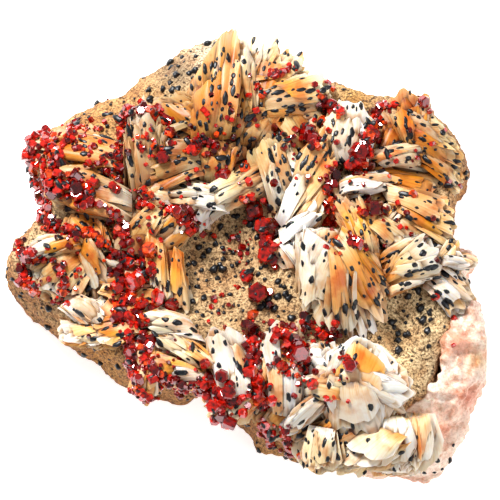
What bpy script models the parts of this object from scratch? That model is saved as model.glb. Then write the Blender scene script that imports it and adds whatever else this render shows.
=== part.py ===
"""Vanadinite on matrix: red hexagonal crystals on fans of barite blades, on a chunk of tan host rock.

Run with blender --background --python part.py, or from Blender's text editor. Metres, +Z up.
"""

import math
import random

import bmesh
import bpy
import numpy as np
from mathutils import Matrix, Vector, geometry
from mathutils.bvhtree import BVHTree

# Driving dimensions.
WIDTH = 0.090  # the specimen from left to right
MM = 0.001
GAP = 0.3 * MM  # left between touching pieces
GROWTH = 0.4 * MM  # how far a cutter of rock is moved out, so that its slopes move out by at least GAP
MOST_STRETCH = 2.5  # how much further than its faces a cutter's sharp corner may move out

# Every place is on a layout grid of GRID_STEPS across WIDTH: u to the right, v towards the front, as the
# piece looks from TILT degrees above the front horizon. A point at the height LEVEL isn't shifted.
GRID_STEPS = 484
STEP = WIDTH / GRID_STEPS
MIDDLE_U = 245.5
MIDDLE_V = 242.5
TILT = math.radians(74)
LEVEL = 20 * MM
SIGHT = Vector((0, math.cos(TILT), -math.sin(TILT)))  # the way that the grid is looked at

# Host rock.
ROCK_TOP = 19.0 * MM
TOP_SPACING = 5.2 * MM  # between the points of a top surface
TOP_SHIFT = 0.3  # how far those points are shifted at random, as a share of their spacing
TOP_MARGIN = 0.45  # how far they keep from the rim, as a share of their spacing
TOP_ROUGHNESS = 0.5 * MM  # how far they are moved up or down
BACK_SLOPE_FROM = (52, 142)
BACK_SLOPE_TO = (212, 48)
BACK_SLOPE_FALL = 1.25  # drop of the bare back slope for each step beyond its crest
BACK_SLOPE_DEPTH = 9 * MM  # the most that it drops
ROCK_SWELLS = (  # u, v, reach in grid steps, rise in mm
    (95, 170, 60, 3.0),
    (215, 105, 60, 3.5),
    (218, 265, 42, -5.5),
    (335, 255, 45, 2.5),
    (350, 385, 45, 2.0),
    (415, 335, 42, -3.0),
    (60, 300, 60, -3.5),
    (445, 165, 45, -3.0),
    (85, 218, 16, -3.5),
    (402, 172, 18, -3.5),
    (300, 460, 60, -6.0),
    (180, 400, 35, -3.0),
)

# Walls of a chunk, inwards from its widest line, in mm where not said otherwise.
FOOT_INSET = 1.4 * MM
LEDGE_INSET = 0.8 * MM
LEDGE_RISE = 0.6  # how high the ledge lies between the widest line and the rim, as a share
RIM_INSET = (0.8 * MM, 1.8 * MM)
RIM_DROP = 1.0 * MM  # below the top surface

# Widest line of the host rock: u, v and height in mm.
ROCK_OUTLINE = (
    (36, 152, 8), (46, 133, 8), (70, 118, 8), (100, 108, 8), (130, 88, 9), (155, 69, 9), (183, 47, 10),
    (206, 41, 11), (230, 27, 14), (243, 46, 14), (262, 64, 13), (300, 82, 12), (335, 90, 11),
    (376, 103, 10), (410, 113, 9), (434, 118, 8), (450, 130, 8), (463, 152, 7), (473, 180, 7),
    (456, 197, 7), (453, 225, 7), (450, 255, 6), (455, 285, 5), (450, 320, 4), (446, 350, 4),
    (436, 375, 3), (423, 400, 3), (403, 425, 3), (385, 445, 2), (365, 462, 2), (350, 473, 2),
    (322, 470, 2), (293, 464, 1), (258, 450, 1), (247, 436, 1), (232, 424, 1), (215, 411, 2),
    (200, 396, 2), (180, 405, 1), (160, 404, 1), (131, 391, 2), (106, 374, 2), (78, 353, 2),
    (48, 333, 2), (22, 311, 2), (4, 290, 3), (5, 275, 4), (16, 250, 6), (34, 232, 7), (44, 214, 8),
    (40, 193, 8), (33, 170, 8),
)

# Massive barite along the right and the front right: u, v and height in mm of its widest line.
MASSIVE_TOP = 16.5 * MM
MASSIVE_SWELLS = (
    (470, 300, 30, 1.5),
    (455, 345, 22, 2.0),
    (478, 360, 25, -1.0),
    (450, 395, 25, 1.5),
    (405, 440, 35, -2.0),
    (455, 455, 45, -6.0),
    (395, 478, 40, -4.0),
)
MASSIVE_OUTLINE = (
    (448, 250, 10), (462, 255, 10), (475, 260, 10), (466, 270, 9), (467, 292, 8), (475, 303, 8),
    (484, 335, 7), (487, 372, 6), (486, 384, 5), (474, 402, 5), (471, 414, 4), (458, 443, 3),
    (444, 467, 2), (430, 479, 2), (400, 479, 1), (367, 478, 1), (353, 474, 1), (352, 455, 3),
    (378, 430, 4), (405, 412, 4), (430, 398, 4), (438, 372, 5), (446, 345, 6), (438, 318, 7),
    (446, 285, 8),
)

# Barite fans: name, root u, v and rise above the rock in mm, then the outer edge's points in the same way,
# then how many blades show along the edge. Fans that overlap are one solid, named after the first of them.
FANS = (
    # left rim
    ("crust", (124, 164, 2.5), ((70, 130, 3), (38, 138, 3), (33, 153, 2), (44, 171, 1)), 5),
    ("left_rim", (131, 208, 3.0), ((66, 165, 4), (43, 181, 3), (48, 201, 2), (68, 210, 1)), 5),
    ("left_rim_foot", (112, 186, 2.0), ((62, 178, 3), (56, 192, 3), (62, 204, 2)), 3),
    ("left_back", (136, 160, 2.0), ((96, 132, 3), (112, 124, 3), (128, 126, 3)), 3),
    # cup above the middle left
    ("cup", (146, 196, 1.5), ((123, 150, 5), (131, 114, 6), (156, 114, 6), (169, 134, 5)), 5),
    ("cup_right", (207, 156, 3.0), ((145, 138, 4), (140, 165, 4), (150, 198, 3)), 5),
    ("cup_foot", (176, 196, 2.0), ((140, 176, 3), (138, 192, 3), (146, 208, 3)), 3),
    # back
    ("ridge", (219, 140, 3.5), ((189, 94, 4), (197, 64, 6), (228, 31, 6), (239, 48, 6), (246, 83, 5)), 8),
    ("ridge_end", (246, 110, 3.5), ((237, 36, 5), (248, 44, 6), (257, 62, 5), (260, 84, 4)), 3),
    ("back_far", (252, 112, 2.0), ((262, 46, 4), (280, 51, 4), (298, 67, 4), (304, 88, 3)), 4),
    ("back_right", (259, 106, 2.5), ((292, 74, 4), (323, 76, 4), (331, 100, 4), (321, 122, 2)), 5),
    ("back_left", (212, 135, 2.5), ((155, 112, 3), (163, 97, 4), (196, 94, 4)), 4),
    ("ridge_foot", (236, 142, 2.5), ((214, 104, 4), (232, 96, 5), (252, 104, 4)), 3),
    ("ridge_right", (232, 128, 3.0), ((250, 94, 4), (266, 102, 4), (268, 122, 3)), 3),
    # rosette behind the middle
    ("middle_left", (226, 202, 3.5), ((169, 179, 4), (163, 196, 4), (179, 216, 3)), 4),
    ("middle_right", (205, 204, 3.5), ((245, 160, 4), (266, 170, 5), (264, 196, 3)), 5),
    ("middle_front", (206, 188, 3.5), ((180, 226, 2), (200, 232, 2), (216, 222, 2)), 4),
    ("middle_back", (214, 182, 2.5), ((192, 146, 4), (212, 138, 4), (238, 146, 4)), 3),
    # tall shells right of the middle
    ("shell", (291, 217, 2.5), ((257, 152, 6), (268, 140, 7), (284, 143, 7), (300, 162, 6)), 6),
    ("shell_golden", (284, 230, 2.5), ((300, 150, 7), (317, 142, 7), (331, 158, 6), (330, 188, 4)), 5),
    ("shell_blade", (280, 240, 3.5), ((316, 198, 5), (324, 211, 5), (321, 224, 4)), 2),
    ("shell_cup", (314, 264, 3.0), ((279, 242, 4), (304, 228, 5), (338, 232, 5)), 4),
    ("shell_back", (310, 156, 2.0), ((268, 114, 4), (286, 107, 4), (306, 114, 3)), 4),
    ("shell_foot", (288, 178, 2.5), ((256, 170, 3), (252, 186, 3), (262, 202, 3)), 3),
    # big white fan and its golden back
    ("white_fan", (328, 244, 6.0), ((299, 276, 4), (304, 302, 3), (322, 320, 3), (346, 331, 3),
                                    (367, 329, 3)), 7),
    ("white_fan_gold", (336, 242, 6.0), ((369, 322, 4), (382, 302, 5), (385, 280, 5)), 4),
    ("pointed_pair", (372, 252, 3.0), ((337, 207, 6), (347, 201, 6), (360, 206, 6), (376, 210, 5)), 3),
    # right
    ("right_low", (370, 220, 4.0), ((392, 254, 4), (406, 243, 4), (417, 233, 4)), 4),
    ("right_lens", (340, 190, 5.0), ((382, 171, 6), (396, 181, 6), (384, 192, 5)), 2),
    ("right_arc", (385, 197, 3.0), ((415, 190, 5), (441, 199, 5), (452, 224, 4), (449, 247, 3)), 6),
    ("right_stack", (374, 160, 3.0), ((396, 143, 4), (424, 146, 5), (424, 164, 4)), 3),
    ("right_tip", (420, 152, 3.0), ((388, 106, 5), (407, 93, 6), (430, 101, 6), (434, 124, 4)), 4),
    ("right_far", (412, 140, 4.0), ((434, 117, 5), (457, 148, 5), (459, 188, 3)), 5),
    ("right_grey", (352, 166, 3.0), ((324, 120, 4), (340, 106, 5), (360, 111, 5), (379, 130, 4)), 4),
    ("right_splinters", (378, 230, 2.0), ((384, 204, 4), (398, 200, 4), (410, 208, 4)), 3),
    ("right_front", (385, 281, 3.0), ((402, 240, 4), (425, 238, 4), (438, 256, 4), (434, 277, 3),
                                      (412, 288, 2)), 6),
    # rosette at the front
    ("flower", (352, 390, 5.0), ((302, 399, 3), (304, 382, 4), (324, 364, 4)), 4),
    ("flower_back", (352, 390, 5.0), ((330, 354, 5), (355, 339, 6), (378, 349, 6), (398, 372, 6)), 4),
    ("flower_right", (350, 380, 5.0), ((402, 376, 6), (408, 390, 5), (398, 410, 4)), 4),
    ("flower_front", (352, 374, 5.0), ((388, 419, 5), (368, 431, 4), (344, 429, 3), (324, 412, 3)), 5),
    ("flower_foot", (330, 390, 2.0), ((300, 366, 3), (312, 350, 3), (330, 346, 3)), 3),
    # front edge
    ("front_low", (398, 424, 2.0), ((342, 424, 3), (335, 444, 2), (350, 464, 2), (386, 467, 2)), 6),
    ("front_blades", (320, 426, 3.0), ((299, 460, 2), (320, 469, 2), (344, 467, 2)), 4),
    ("front_lath", (320, 398, 4.0), ((284, 414, 3), (281, 427, 3), (298, 432, 2)), 3),
    ("front_upright", (286, 416, 2.5), ((261, 342, 4), (275, 328, 5), (298, 334, 5), (304, 352, 3)), 5),
    ("front_grey", (243, 403, 2.0), ((204, 343, 4), (220, 334, 5), (238, 344, 4), (250, 346, 3)), 4),
    ("front_gold", (208, 377, 2.0), ((146, 350, 3), (150, 373, 3), (176, 387, 2)), 4),
    ("front_cream", (212, 368, 3.0), ((160, 343, 4), (176, 334, 4), (202, 345, 3)), 3),
    ("front_splinters", (250, 386, 1.5), ((206, 392, 3), (214, 414, 2), (240, 420, 2)), 3),
    # front left
    ("left_front", (199, 332, 2.5), ((145, 308, 3), (141, 322, 3), (166, 339, 2)), 4),
    ("recess_lath", (163, 238, 3.0), ((148, 276, 3), (168, 302, 3), (190, 306, 2)), 3),
    ("recess_left", (192, 214, 2.5), ((150, 224, 4), (151, 246, 3), (172, 254, 2)), 4),
    ("hollow_top", (161, 210, 3.0), ((116, 234, 4), (119, 250, 3), (142, 256, 2)), 4),
    ("hollow", (158, 282, 1.0), ((103, 258, 3), (98, 286, 3), (112, 312, 2)), 4),
    ("hollow_foot", (160, 300, 1.0), ((118, 300, 2), (122, 318, 2), (142, 330, 2)), 3),
    ("left_blades", (84, 244, 2.5), ((34, 241, 4), (29, 256, 4), (48, 266, 2)), 4),
    ("left_golden", (84, 257, 2.0), ((32, 263, 3), (40, 284, 3), (56, 300, 2), (78, 301, 2)), 5),
    ("left_crescent", (82, 243, 3.0), ((106, 258, 4), (108, 284, 3), (93, 299, 2)), 3),
    ("left_patch", (70, 299, 2.0), ((104, 307, 3), (106, 326, 3), (80, 324, 2)), 3),
    ("left_upper", (100, 252, 2.0), ((64, 222, 3), (84, 214, 2), (104, 222, 3)), 3),
    ("left_gold_low", (138, 326, 2.0), ((95, 317, 3), (92, 332, 2), (110, 344, 2)), 3),
    ("left_wall", (149, 360, 2.0), ((134, 390, 2), (148, 398, 2), (158, 391, 2)), 3),
    ("left_wall_back", (150, 372, 1.5), ((124, 340, 2), (136, 334, 2), (152, 338, 2)), 3),
    # right edge
    ("right_edge", (440, 262, 2.0), ((470, 255, 3), (476, 262, 3), (466, 270, 2)), 2),
    ("right_nub", (440, 260, 2.0), ((448, 237, 3), (459, 242, 3), (458, 254, 2)), 2),
)
BLADE_NOTCH = 0.13  # how far the edge is cut in between two blades, as a share of the fan's length
PLEAT_DEPTH = 0.7 * MM  # how deep a fold lies between two blades
BULGE_AT = 0.55  # where a fan's middle row of points lies, as a share of its length
SIDE_BULGE = 0.04  # how far a fan bulges up there at its sides, as a share of its length
ARCH = 0.10  # how much further it bulges halfway between its sides
ROOT_SPREAD = 0.17  # half a root's width, as a share of its outer edge's
UNDERSIDE = 0.72  # how far out the underside meets the rock, as a share of the fan's length
JITTER = 0.12 * MM  # keeps the faces of neighbouring fans from lying in one plane
SMALLEST_ROSETTE = 8 * MM**3
SMALLEST_CLUSTER = 8.5 * MM**3
SAME_CORNER = 0.01 * MM
ROOTING = 1.6 * MM  # how deep a fan's underside starts in the rock

# Vanadinite: cluster name, then each crystal's u, v and width in grid steps. A cluster's crystals overlap.
CLUSTERS = (
    ("left_rim", (
        (45, 134, 11), (36, 133, 12), (28, 142, 11), (25, 153, 13), (28, 164, 12), (31, 174, 11),
        (35, 184, 11), (38, 194, 12), (45, 203, 11),
    )),
    ("left_fan", ((51, 186, 11), (59, 192, 12), (68, 190, 10), (77, 190, 14))),
    ("cup_rim", (
        (118, 184, 9), (117, 174, 10), (117, 164, 10), (118, 153, 11), (119, 142, 11), (122, 131, 12),
        (128, 120, 13), (136, 111, 11), (147, 109, 11), (157, 113, 11), (165, 121, 11), (171, 131, 11),
    )),
    ("cup_tablet", ((162, 157, 15), (171, 146, 11))),
    ("back_lath", ((193, 150, 13),)),
    ("rosette_right", ((245, 168, 12), (251, 178, 9))),
    ("rosette_middle", ((223, 175, 13),)),
    ("lower_left_edge", ((14, 250, 12), (23, 257, 13), (30, 266, 12), (25, 277, 13), (31, 287, 10))),
    ("lower_left_top", ((40, 216, 10), (48, 223, 12), (57, 229, 12), (67, 233, 12), (77, 232, 11))),
    ("lower_left_middle", ((59, 269, 11), (62, 278, 12), (66, 286, 9))),
    ("left_hollow", (
        (113, 216, 11), (119, 225, 12), (123, 236, 12), (127, 247, 13), (122, 258, 14), (133, 264, 14),
        (146, 255, 14), (144, 268, 12), (116, 270, 12), (126, 276, 14), (137, 280, 17), (117, 284, 12),
        (128, 292, 14), (141, 295, 13), (121, 303, 12), (134, 307, 12),
    )),
    ("front_left_large", ((157, 298, 20), (171, 306, 14))),
    ("recess_left", ((172, 210, 12), (182, 214, 12), (190, 222, 12), (180, 227, 11))),
    ("ridge_left", ((128, 333, 11), (131, 344, 12), (133, 356, 12), (134, 368, 11), (136, 380, 11))),
    ("ridge_right", ((144, 333, 12), (149, 343, 13), (150, 354, 12), (147, 364, 11))),
    ("front_chain", ((159, 375, 11), (169, 381, 12), (180, 385, 12), (192, 388, 11))),
    ("front_pair", ((205, 363, 12),)),
    ("front_cluster", (
        (222, 378, 15), (228, 392, 16), (216, 402, 15), (222, 414, 14), (233, 420, 13), (243, 411, 12),
    )),
    ("column", (
        (252, 329, 16), (254, 341, 12), (252, 351, 13), (250, 362, 12), (252, 373, 15), (258, 382, 16),
        (259, 395, 14), (269, 401, 12),
    )),
    ("middle_large", (
        (253, 199, 12), (255, 211, 17), (263, 225, 19), (273, 228, 17), (269, 240, 14), (266, 254, 18),
    )),
    ("middle_tablet", ((247, 277, 14), (256, 292, 21))),
    ("shell_foot", ((285, 335, 15), (294, 343, 13), (299, 353, 18))),
    ("shell_foot_small", ((282, 366, 12),)),
    ("rosette_edge", ((312, 383, 13),)),
    ("rosette_flat", ((349, 365, 14),)),
    ("white_fan_foot", ((323, 335, 12), (332, 337, 12))),
    ("back_chain", ((271, 74, 9), (279, 71, 10), (288, 68, 9))),
    ("back_right", ((331, 105, 14), (339, 110, 11))),
    ("back_middle", ((307, 132, 15), (314, 142, 11))),
    ("shell_gap", ((334, 175, 13), (328, 186, 10))),
    ("shell_right", ((330, 215, 15), (326, 205, 11))),
    ("right_chain", (
        (383, 107, 13), (377, 117, 12), (374, 128, 13), (367, 137, 12), (364, 147, 13), (358, 157, 15),
        (361, 169, 13),
    )),
    ("right_tip", ((424, 101, 13),)),
    ("right_large", ((374, 208, 18), (364, 213, 11))),
    ("white_fan_top", ((357, 243, 13),)),
    ("front_edge", ((265, 425, 11), (268, 434, 12), (271, 443, 11))),
    ("front_rust", ((290, 453, 13),)),
)
CRYSTAL_LENGTH = (0.55, 1.0)  # shortest and longest crystal, as a share of its width
CRYSTAL_LEAN = 0.9  # the largest sideways part of a crystal's axis
CRYSTAL_RAISED = 0.5  # how far a crystal's middle lies above what it grows on, as a share of its width
OVERHANG_RISE = 1.5 * MM  # height above the rock of a crystal that overhangs its edge

# Colour, roughness and metallic value of each mineral.
MATRIX_LOOK = ((0.60, 0.42, 0.23), 0.9, 0.0)
MASSIVE_LOOK = ((0.86, 0.66, 0.52), 0.55, 0.0)
BARITE_LOOK = ((0.90, 0.76, 0.52), 0.45, 0.0)
VANADINITE_LOOK = ((0.50, 0.015, 0.01), 0.15, 0.0)


def clear_scene():
    for thing in list(bpy.data.objects):
        bpy.data.objects.remove(thing)


def material(name, look):
    colour, roughness, metallic = look
    made = bpy.data.materials.new(name)
    made.use_nodes = True
    shader = made.node_tree.nodes["Principled BSDF"]
    shader.inputs["Base Color"].default_value = (*colour, 1)
    shader.inputs["Roughness"].default_value = roughness
    shader.inputs["Metallic"].default_value = metallic
    return made


def on_grid(u, v, height):
    """The point at this height that is seen at (u, v)."""
    up_the_grid = (MIDDLE_V - v) * STEP
    y = (up_the_grid - (height - LEVEL) * math.cos(TILT)) / math.sin(TILT)
    return Vector(((u - MIDDLE_U) * STEP, y, height))


def swollen(x, y, base, swells):
    """A level surface with smooth rises and hollows. x and y may be arrays."""
    u = x / STEP + MIDDLE_U
    v = MIDDLE_V - y / STEP
    height = base
    for middle_u, middle_v, reach, rise in swells:
        away = ((u - middle_u) ** 2 + (v - middle_v) ** 2) / reach**2
        height = height + rise * MM * np.exp(-away)
    return height


def rock_top(x, y):
    """The rock's upper surface, which falls away behind the crest of its bare back slope."""
    u = x / STEP + MIDDLE_U
    v = MIDDLE_V - y / STEP
    along = np.subtract(BACK_SLOPE_TO, BACK_SLOPE_FROM)
    along = along / np.hypot(*along)
    beyond = (u - BACK_SLOPE_FROM[0]) * along[1] - (v - BACK_SLOPE_FROM[1]) * along[0]
    fall = BACK_SLOPE_FALL * STEP * np.maximum(beyond, 0)
    return swollen(x, y, ROCK_TOP, ROCK_SWELLS) - np.minimum(fall, BACK_SLOPE_DEPTH)


def massive_top(x, y):
    return swollen(x, y, MASSIVE_TOP, MASSIVE_SWELLS)


def above_rock(u, v, rise):
    """The point seen at (u, v) that stands this far above the rock's upper surface."""
    height = LEVEL
    for _ in range(8):
        spot = on_grid(u, v, height)
        height = float(rock_top(spot.x, spot.y)) + rise
    return on_grid(u, v, height)


def outward(ring):
    """The direction out of a closed plan outline at each of its points."""
    ring = np.asarray(ring)
    along = np.roll(ring, -1, axis=0) - np.roll(ring, 1, axis=0)
    out = np.stack((along[:, 1], -along[:, 0]), axis=1)
    out /= np.linalg.norm(out, axis=1)[:, None]
    shifted = np.roll(ring, -1, axis=0)
    signed_area = (ring[:, 0] * shifted[:, 1] - shifted[:, 0] * ring[:, 1]).sum()
    return out * np.sign(signed_area)


def inside(point, ring, margin):
    """Whether a plan point lies in a closed outline, at least margin from it."""
    crossings = 0
    for (ax, ay), (bx, by) in zip(ring, np.roll(ring, -1, axis=0)):
        if (ay > point[1]) != (by > point[1]):
            crossings += point[0] < ax + (point[1] - ay) * (bx - ax) / (by - ay)
        edge = np.array((bx - ax, by - ay))
        share = np.clip(np.dot(np.subtract(point, (ax, ay)), edge) / np.dot(edge, edge), 0, 1)
        if np.hypot(*np.subtract(point, (ax, ay) + share * edge)) < margin:
            return False
    return crossings % 2 == 1


def chunk(name, outline, top):
    """A rough chunk: its walls rise from a flat underside past its widest line to an uneven top."""
    dice = random.Random(name)
    widest = [on_grid(u, v, height * MM) for u, v, height in outline]
    plan = np.array([(point.x, point.y) for point in widest])
    out = outward(plan)
    jitter = np.array([dice.uniform(0.2, 1.0) for _ in plan])[:, None]
    foot = plan - out * FOOT_INSET * jitter
    ledge = plan - out * LEDGE_INSET * (1 - jitter)
    rim = plan - out * (RIM_INSET[0] + (RIM_INSET[1] - RIM_INSET[0]) * jitter)
    rim_heights = [float(top(x, y)) - RIM_DROP for x, y in rim]
    points = [(x, y, 0) for x, y in foot]
    points += [tuple(point) for point in widest]
    for (x, y), point, high in zip(ledge, widest, rim_heights):
        points.append((x, y, point.z + LEDGE_RISE * (high - point.z)))
    points += [(x, y, high) for (x, y), high in zip(rim, rim_heights)]
    count = len(plan)
    faces = [tuple(reversed(range(count)))]
    for ring in range(3):
        for i in range(count):
            after = (i + 1) % count
            low = ring * count
            faces.append((low + i, low + after, low + count + after, low + count + i))
    flat = [Vector(point) for point in rim]
    low, high = rim.min(axis=0), rim.max(axis=0)
    for x in np.arange(low[0], high[0], TOP_SPACING):
        for y in np.arange(low[1], high[1], TOP_SPACING):
            shift = [dice.uniform(-TOP_SHIFT, TOP_SHIFT) * TOP_SPACING for _ in range(2)]
            spot = (x + shift[0], y + shift[1])
            lift = dice.uniform(-TOP_ROUGHNESS, TOP_ROUGHNESS)
            if inside(spot, rim, TOP_MARGIN * TOP_SPACING):
                flat.append(Vector(spot))
                points.append((*spot, float(top(*spot)) + lift))
    _, _, triangles, sources, _, _ = geometry.delaunay_2d_cdt(flat, [], [list(range(count))], 1, 1e-7)
    first = 3 * count
    faces += [tuple(first + sources[corner][0] for corner in triangle) for triangle in triangles]
    return solid(name, points, faces)


def solid(name, points, faces):
    """An object made of these points and faces, with every face turned outwards."""
    shell = bmesh.new()
    corners = [shell.verts.new(point) for point in points]
    for face in faces:
        shell.faces.new([corners[i] for i in face])
    bmesh.ops.triangulate(shell, faces=shell.faces)
    bmesh.ops.recalc_face_normals(shell, faces=shell.faces)
    if shell.calc_volume(signed=True) < 0:
        bmesh.ops.reverse_faces(shell, faces=shell.faces)
    mesh = bpy.data.meshes.new(name)
    shell.to_mesh(mesh)
    shell.free()
    made = bpy.data.objects.new(name, mesh)
    bpy.context.scene.collection.objects.link(made)
    return made


def along_edge(tips, count):
    """Evenly spaced points on the line through the tips, as (u, v, rise)."""
    tips = np.array(tips, float)
    steps = np.hypot(*np.diff(tips[:, :2], axis=0).T)
    reached = np.concatenate(((0,), np.cumsum(steps)))
    wanted = np.linspace(0, reached[-1], count)
    return np.stack([np.interp(wanted, reached, tips[:, column]) for column in range(3)], axis=1)


def strip(first, second):
    """Triangles between two rows of point numbers, which may differ in length."""
    faces = []
    i = j = 0
    while i < len(first) - 1 or j < len(second) - 1:
        step_first = (i + 1) / max(len(first) - 1, 1) <= (j + 1) / max(len(second) - 1, 1)
        if j == len(second) - 1 or (step_first and i < len(first) - 1):
            faces.append((first[i], second[j], first[i + 1]))
            i += 1
        else:
            faces.append((first[i], second[j], second[j + 1]))
            j += 1
    return faces


def fan(name, root, tips, blades, grow=0.0):
    """A fan of blades: pleated from its narrow root to a notched outer edge, wedge-shaped below."""
    edge = along_edge(tips, 2 * blades + 1)
    root = np.array(root, float)
    span = edge[-1, :2] - edge[0, :2]
    root_ends = [root.copy(), root.copy()]
    root_ends[0][:2] -= ROOT_SPREAD * span
    root_ends[1][:2] += ROOT_SPREAD * span
    roots = [above_rock(u, v, rise * MM) for u, v, rise in root_ends]
    root_middle = (roots[0] + roots[1]) / 2
    outer = []
    for i, (u, v, rise) in enumerate(edge):
        tip = above_rock(u, v, rise * MM)
        if i % 2:
            tip = tip.lerp(root_middle, BLADE_NOTCH) - Vector((0, 0, PLEAT_DEPTH))
        outer.append(tip)
    middle = []
    middle_count = blades // 2 + 2
    for j in range(middle_count):
        share = j / (middle_count - 1)
        start = roots[0].lerp(roots[1], share)
        tip = outer[2 * round(share * blades)]
        bulge = (tip - start).length * (SIDE_BULGE + ARCH * math.sin(math.pi * share))
        middle.append(start.lerp(tip, BULGE_AT) + Vector((0, 0, bulge)))
    below = []
    for share in (0, 0.5, 1):
        start = root_ends[0] + share * (root_ends[1] - root_ends[0])
        u, v = start[:2] + UNDERSIDE * (edge[round(share * 2 * blades), :2] - start[:2])
        below.append(above_rock(u, v, -ROOTING))
    below_root = [above_rock(u, v, -ROOTING) for u, v, _ in root_ends]
    dice = random.Random(name)
    numbers = []
    points = []
    for row in (roots, middle, outer, below, below_root):
        numbers.append(list(range(len(points), len(points) + len(row))))
        points += [point + Vector([dice.uniform(-JITTER, JITTER) for _ in range(3)]) for point in row]
    faces = []
    for first, second in zip(numbers, numbers[1:] + numbers[:1]):
        faces += strip(first, second)
    faces.append(tuple(row[0] for row in numbers))
    faces.append(tuple(row[-1] for row in reversed(numbers)))
    made = solid(name, points, faces)
    if grow:
        swell(made, grow)
    return made


def swell(made, distance):
    """Moves every corner outwards so that the faces move out by about this distance."""
    shell = bmesh.new()
    shell.from_mesh(made.data)
    bmesh.ops.recalc_face_normals(shell, faces=shell.faces)
    shell.normal_update()
    moved = []
    for corner in shell.verts:
        stretch = min(corner.calc_shell_factor(), MOST_STRETCH)
        moved.append(corner.co + corner.normal * distance * stretch)
    for corner, place in zip(shell.verts, moved):
        corner.co = place
    shell.to_mesh(made.data)
    shell.free()


def grown_copy(thing):
    """A copy for cutting, which leaves a gap round the thing."""
    made = copy_of(thing)
    swell(made, GROWTH)
    return made


def crystal(name, middle, axis, turn, width, length):
    """A hexagonal prism across its corners width wide, with flat ends."""
    points = []
    for end in (-length / 2, length / 2):
        for side in range(6):
            angle = turn + side * math.pi / 3
            points.append((width / 2 * math.cos(angle), width / 2 * math.sin(angle), end))
    place = Matrix.Translation(middle) @ Vector((0, 0, 1)).rotation_difference(axis).to_matrix().to_4x4()
    points = [place @ Vector(point) for point in points]
    faces = [tuple(range(5, -1, -1)), tuple(range(6, 12))]
    faces += [(side, (side + 1) % 6, (side + 1) % 6 + 6, side + 6) for side in range(6)]
    return solid(name, points, faces)


def combined(base, others, operation):
    """The base with the others joined to it or cut from it. The others are removed."""
    helpers = bpy.data.collections.new("helpers")
    for other in others:
        helpers.objects.link(other)
    boolean = base.modifiers.new("combine", "BOOLEAN")
    boolean.operation = operation
    boolean.solver = "EXACT"
    boolean.operand_type = "COLLECTION"
    boolean.collection = helpers
    graph = bpy.context.evaluated_depsgraph_get()
    mesh = bpy.data.meshes.new_from_object(base.evaluated_get(graph))
    base.modifiers.remove(boolean)
    base.data = mesh
    for other in others:
        bpy.data.objects.remove(other)
    bpy.data.collections.remove(helpers)
    return base


def copy_of(thing):
    made = bpy.data.objects.new(thing.name + "_copy", thing.data.copy())
    bpy.context.scene.collection.objects.link(made)
    return made


def loose_bodies(shell):
    """The faces of each loose body of a mesh, the largest body first."""
    unseen = set(shell.faces)
    bodies = []
    while unseen:
        front = [unseen.pop()]
        body = []
        while front:
            face = front.pop()
            body.append(face)
            for edge in face.edges:
                for neighbour in edge.link_faces:
                    if neighbour in unseen and len(edge.link_faces) == 2:
                        unseen.remove(neighbour)
                        front.append(neighbour)
        bodies.append(body)
    return sorted(bodies, key=enclosed, reverse=True)


def enclosed(body):
    """The volume inside a list of faces."""
    total = 0.0
    for face in body:
        first, *rest = (corner.co for corner in face.verts)
        for second, third in zip(rest, rest[1:]):
            total += first.dot(second.cross(third)) / 6
    return total


def split(thing, smallest=math.inf):
    """An object for the largest loose body, then one for each other that isn't too small. The thing is removed."""
    shell = bmesh.new()
    shell.from_mesh(thing.data)
    bmesh.ops.triangulate(shell, faces=shell.faces)
    made = []
    for body in loose_bodies(shell):
        if made and enclosed(body) < smallest:
            continue
        corners = list({corner: None for face in body for corner in face.verts})
        number = {corner: i for i, corner in enumerate(corners)}
        faces = [tuple(number[corner] for corner in face.verts) for face in body]
        made.append(solid(thing.name, [corner.co.copy() for corner in corners], faces))
    shell.free()
    bpy.data.objects.remove(thing)
    return made


def corners_of(thing):
    return np.array([corner.co for corner in thing.data.vertices])


def make_fans(grow=0.0):
    return [fan(f"barite_{name}", root, tips, blades, grow) for name, root, tips, blades in FANS]


def make_crust(cutters):
    """The fans joined where they overlap and cut clear of the rock, each named after its first fan."""
    fans = make_fans()
    own_corners = [(made.name, corners_of(made)) for made in fans]
    crust = combined(combined(fans[0], fans[1:], "UNION"), cutters, "DIFFERENCE")
    pieces = split(crust, SMALLEST_ROSETTE)
    for piece in pieces:
        corners = corners_of(piece)
        for name, own in own_corners:
            apart = np.linalg.norm(corners[:, None] - own[None], axis=2)
            if apart.min() < SAME_CORNER:
                piece.name = name
                break
    return pieces


def seen_at(trees, u, v):
    """Where the line of sight through (u, v) first meets one of the solids, or None."""
    start = on_grid(u, v, LEVEL) - SIGHT
    found = [tree.ray_cast(start, SIGHT) for tree in trees]
    hits = [(distance, place) for place, _, _, distance in found if place is not None]
    return min(hits)[1] if hits else None


def make_cluster(name, crystals, trees):
    dice = random.Random(name)
    made = []
    for i, (u, v, width) in enumerate(crystals):
        place = seen_at(trees, u, v)
        if place is None:
            place = above_rock(u, v, OVERHANG_RISE)
        length = dice.uniform(*CRYSTAL_LENGTH) * width * STEP
        lean = dice.uniform(0, CRYSTAL_LEAN)
        way = dice.uniform(0, 2 * math.pi)
        axis = Vector((lean * math.cos(way), lean * math.sin(way), 1)).normalized()
        middle = place - SIGHT * (CRYSTAL_RAISED * width * STEP)
        made.append(crystal(f"crystal_{i}", middle, axis, dice.uniform(0, 1), width * STEP, length))
    cluster = combined(made[0], made[1:], "UNION") if len(made) > 1 else made[0]
    cluster.name = "vanadinite_" + name
    return cluster


def close(first, second):
    """Whether the boxes of two objects meet."""
    one, other = corners_of(first), corners_of(second)
    below = (one.min(axis=0) <= other.max(axis=0)).all()
    above = (one.max(axis=0) >= other.min(axis=0)).all()
    return bool(below and above)


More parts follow.
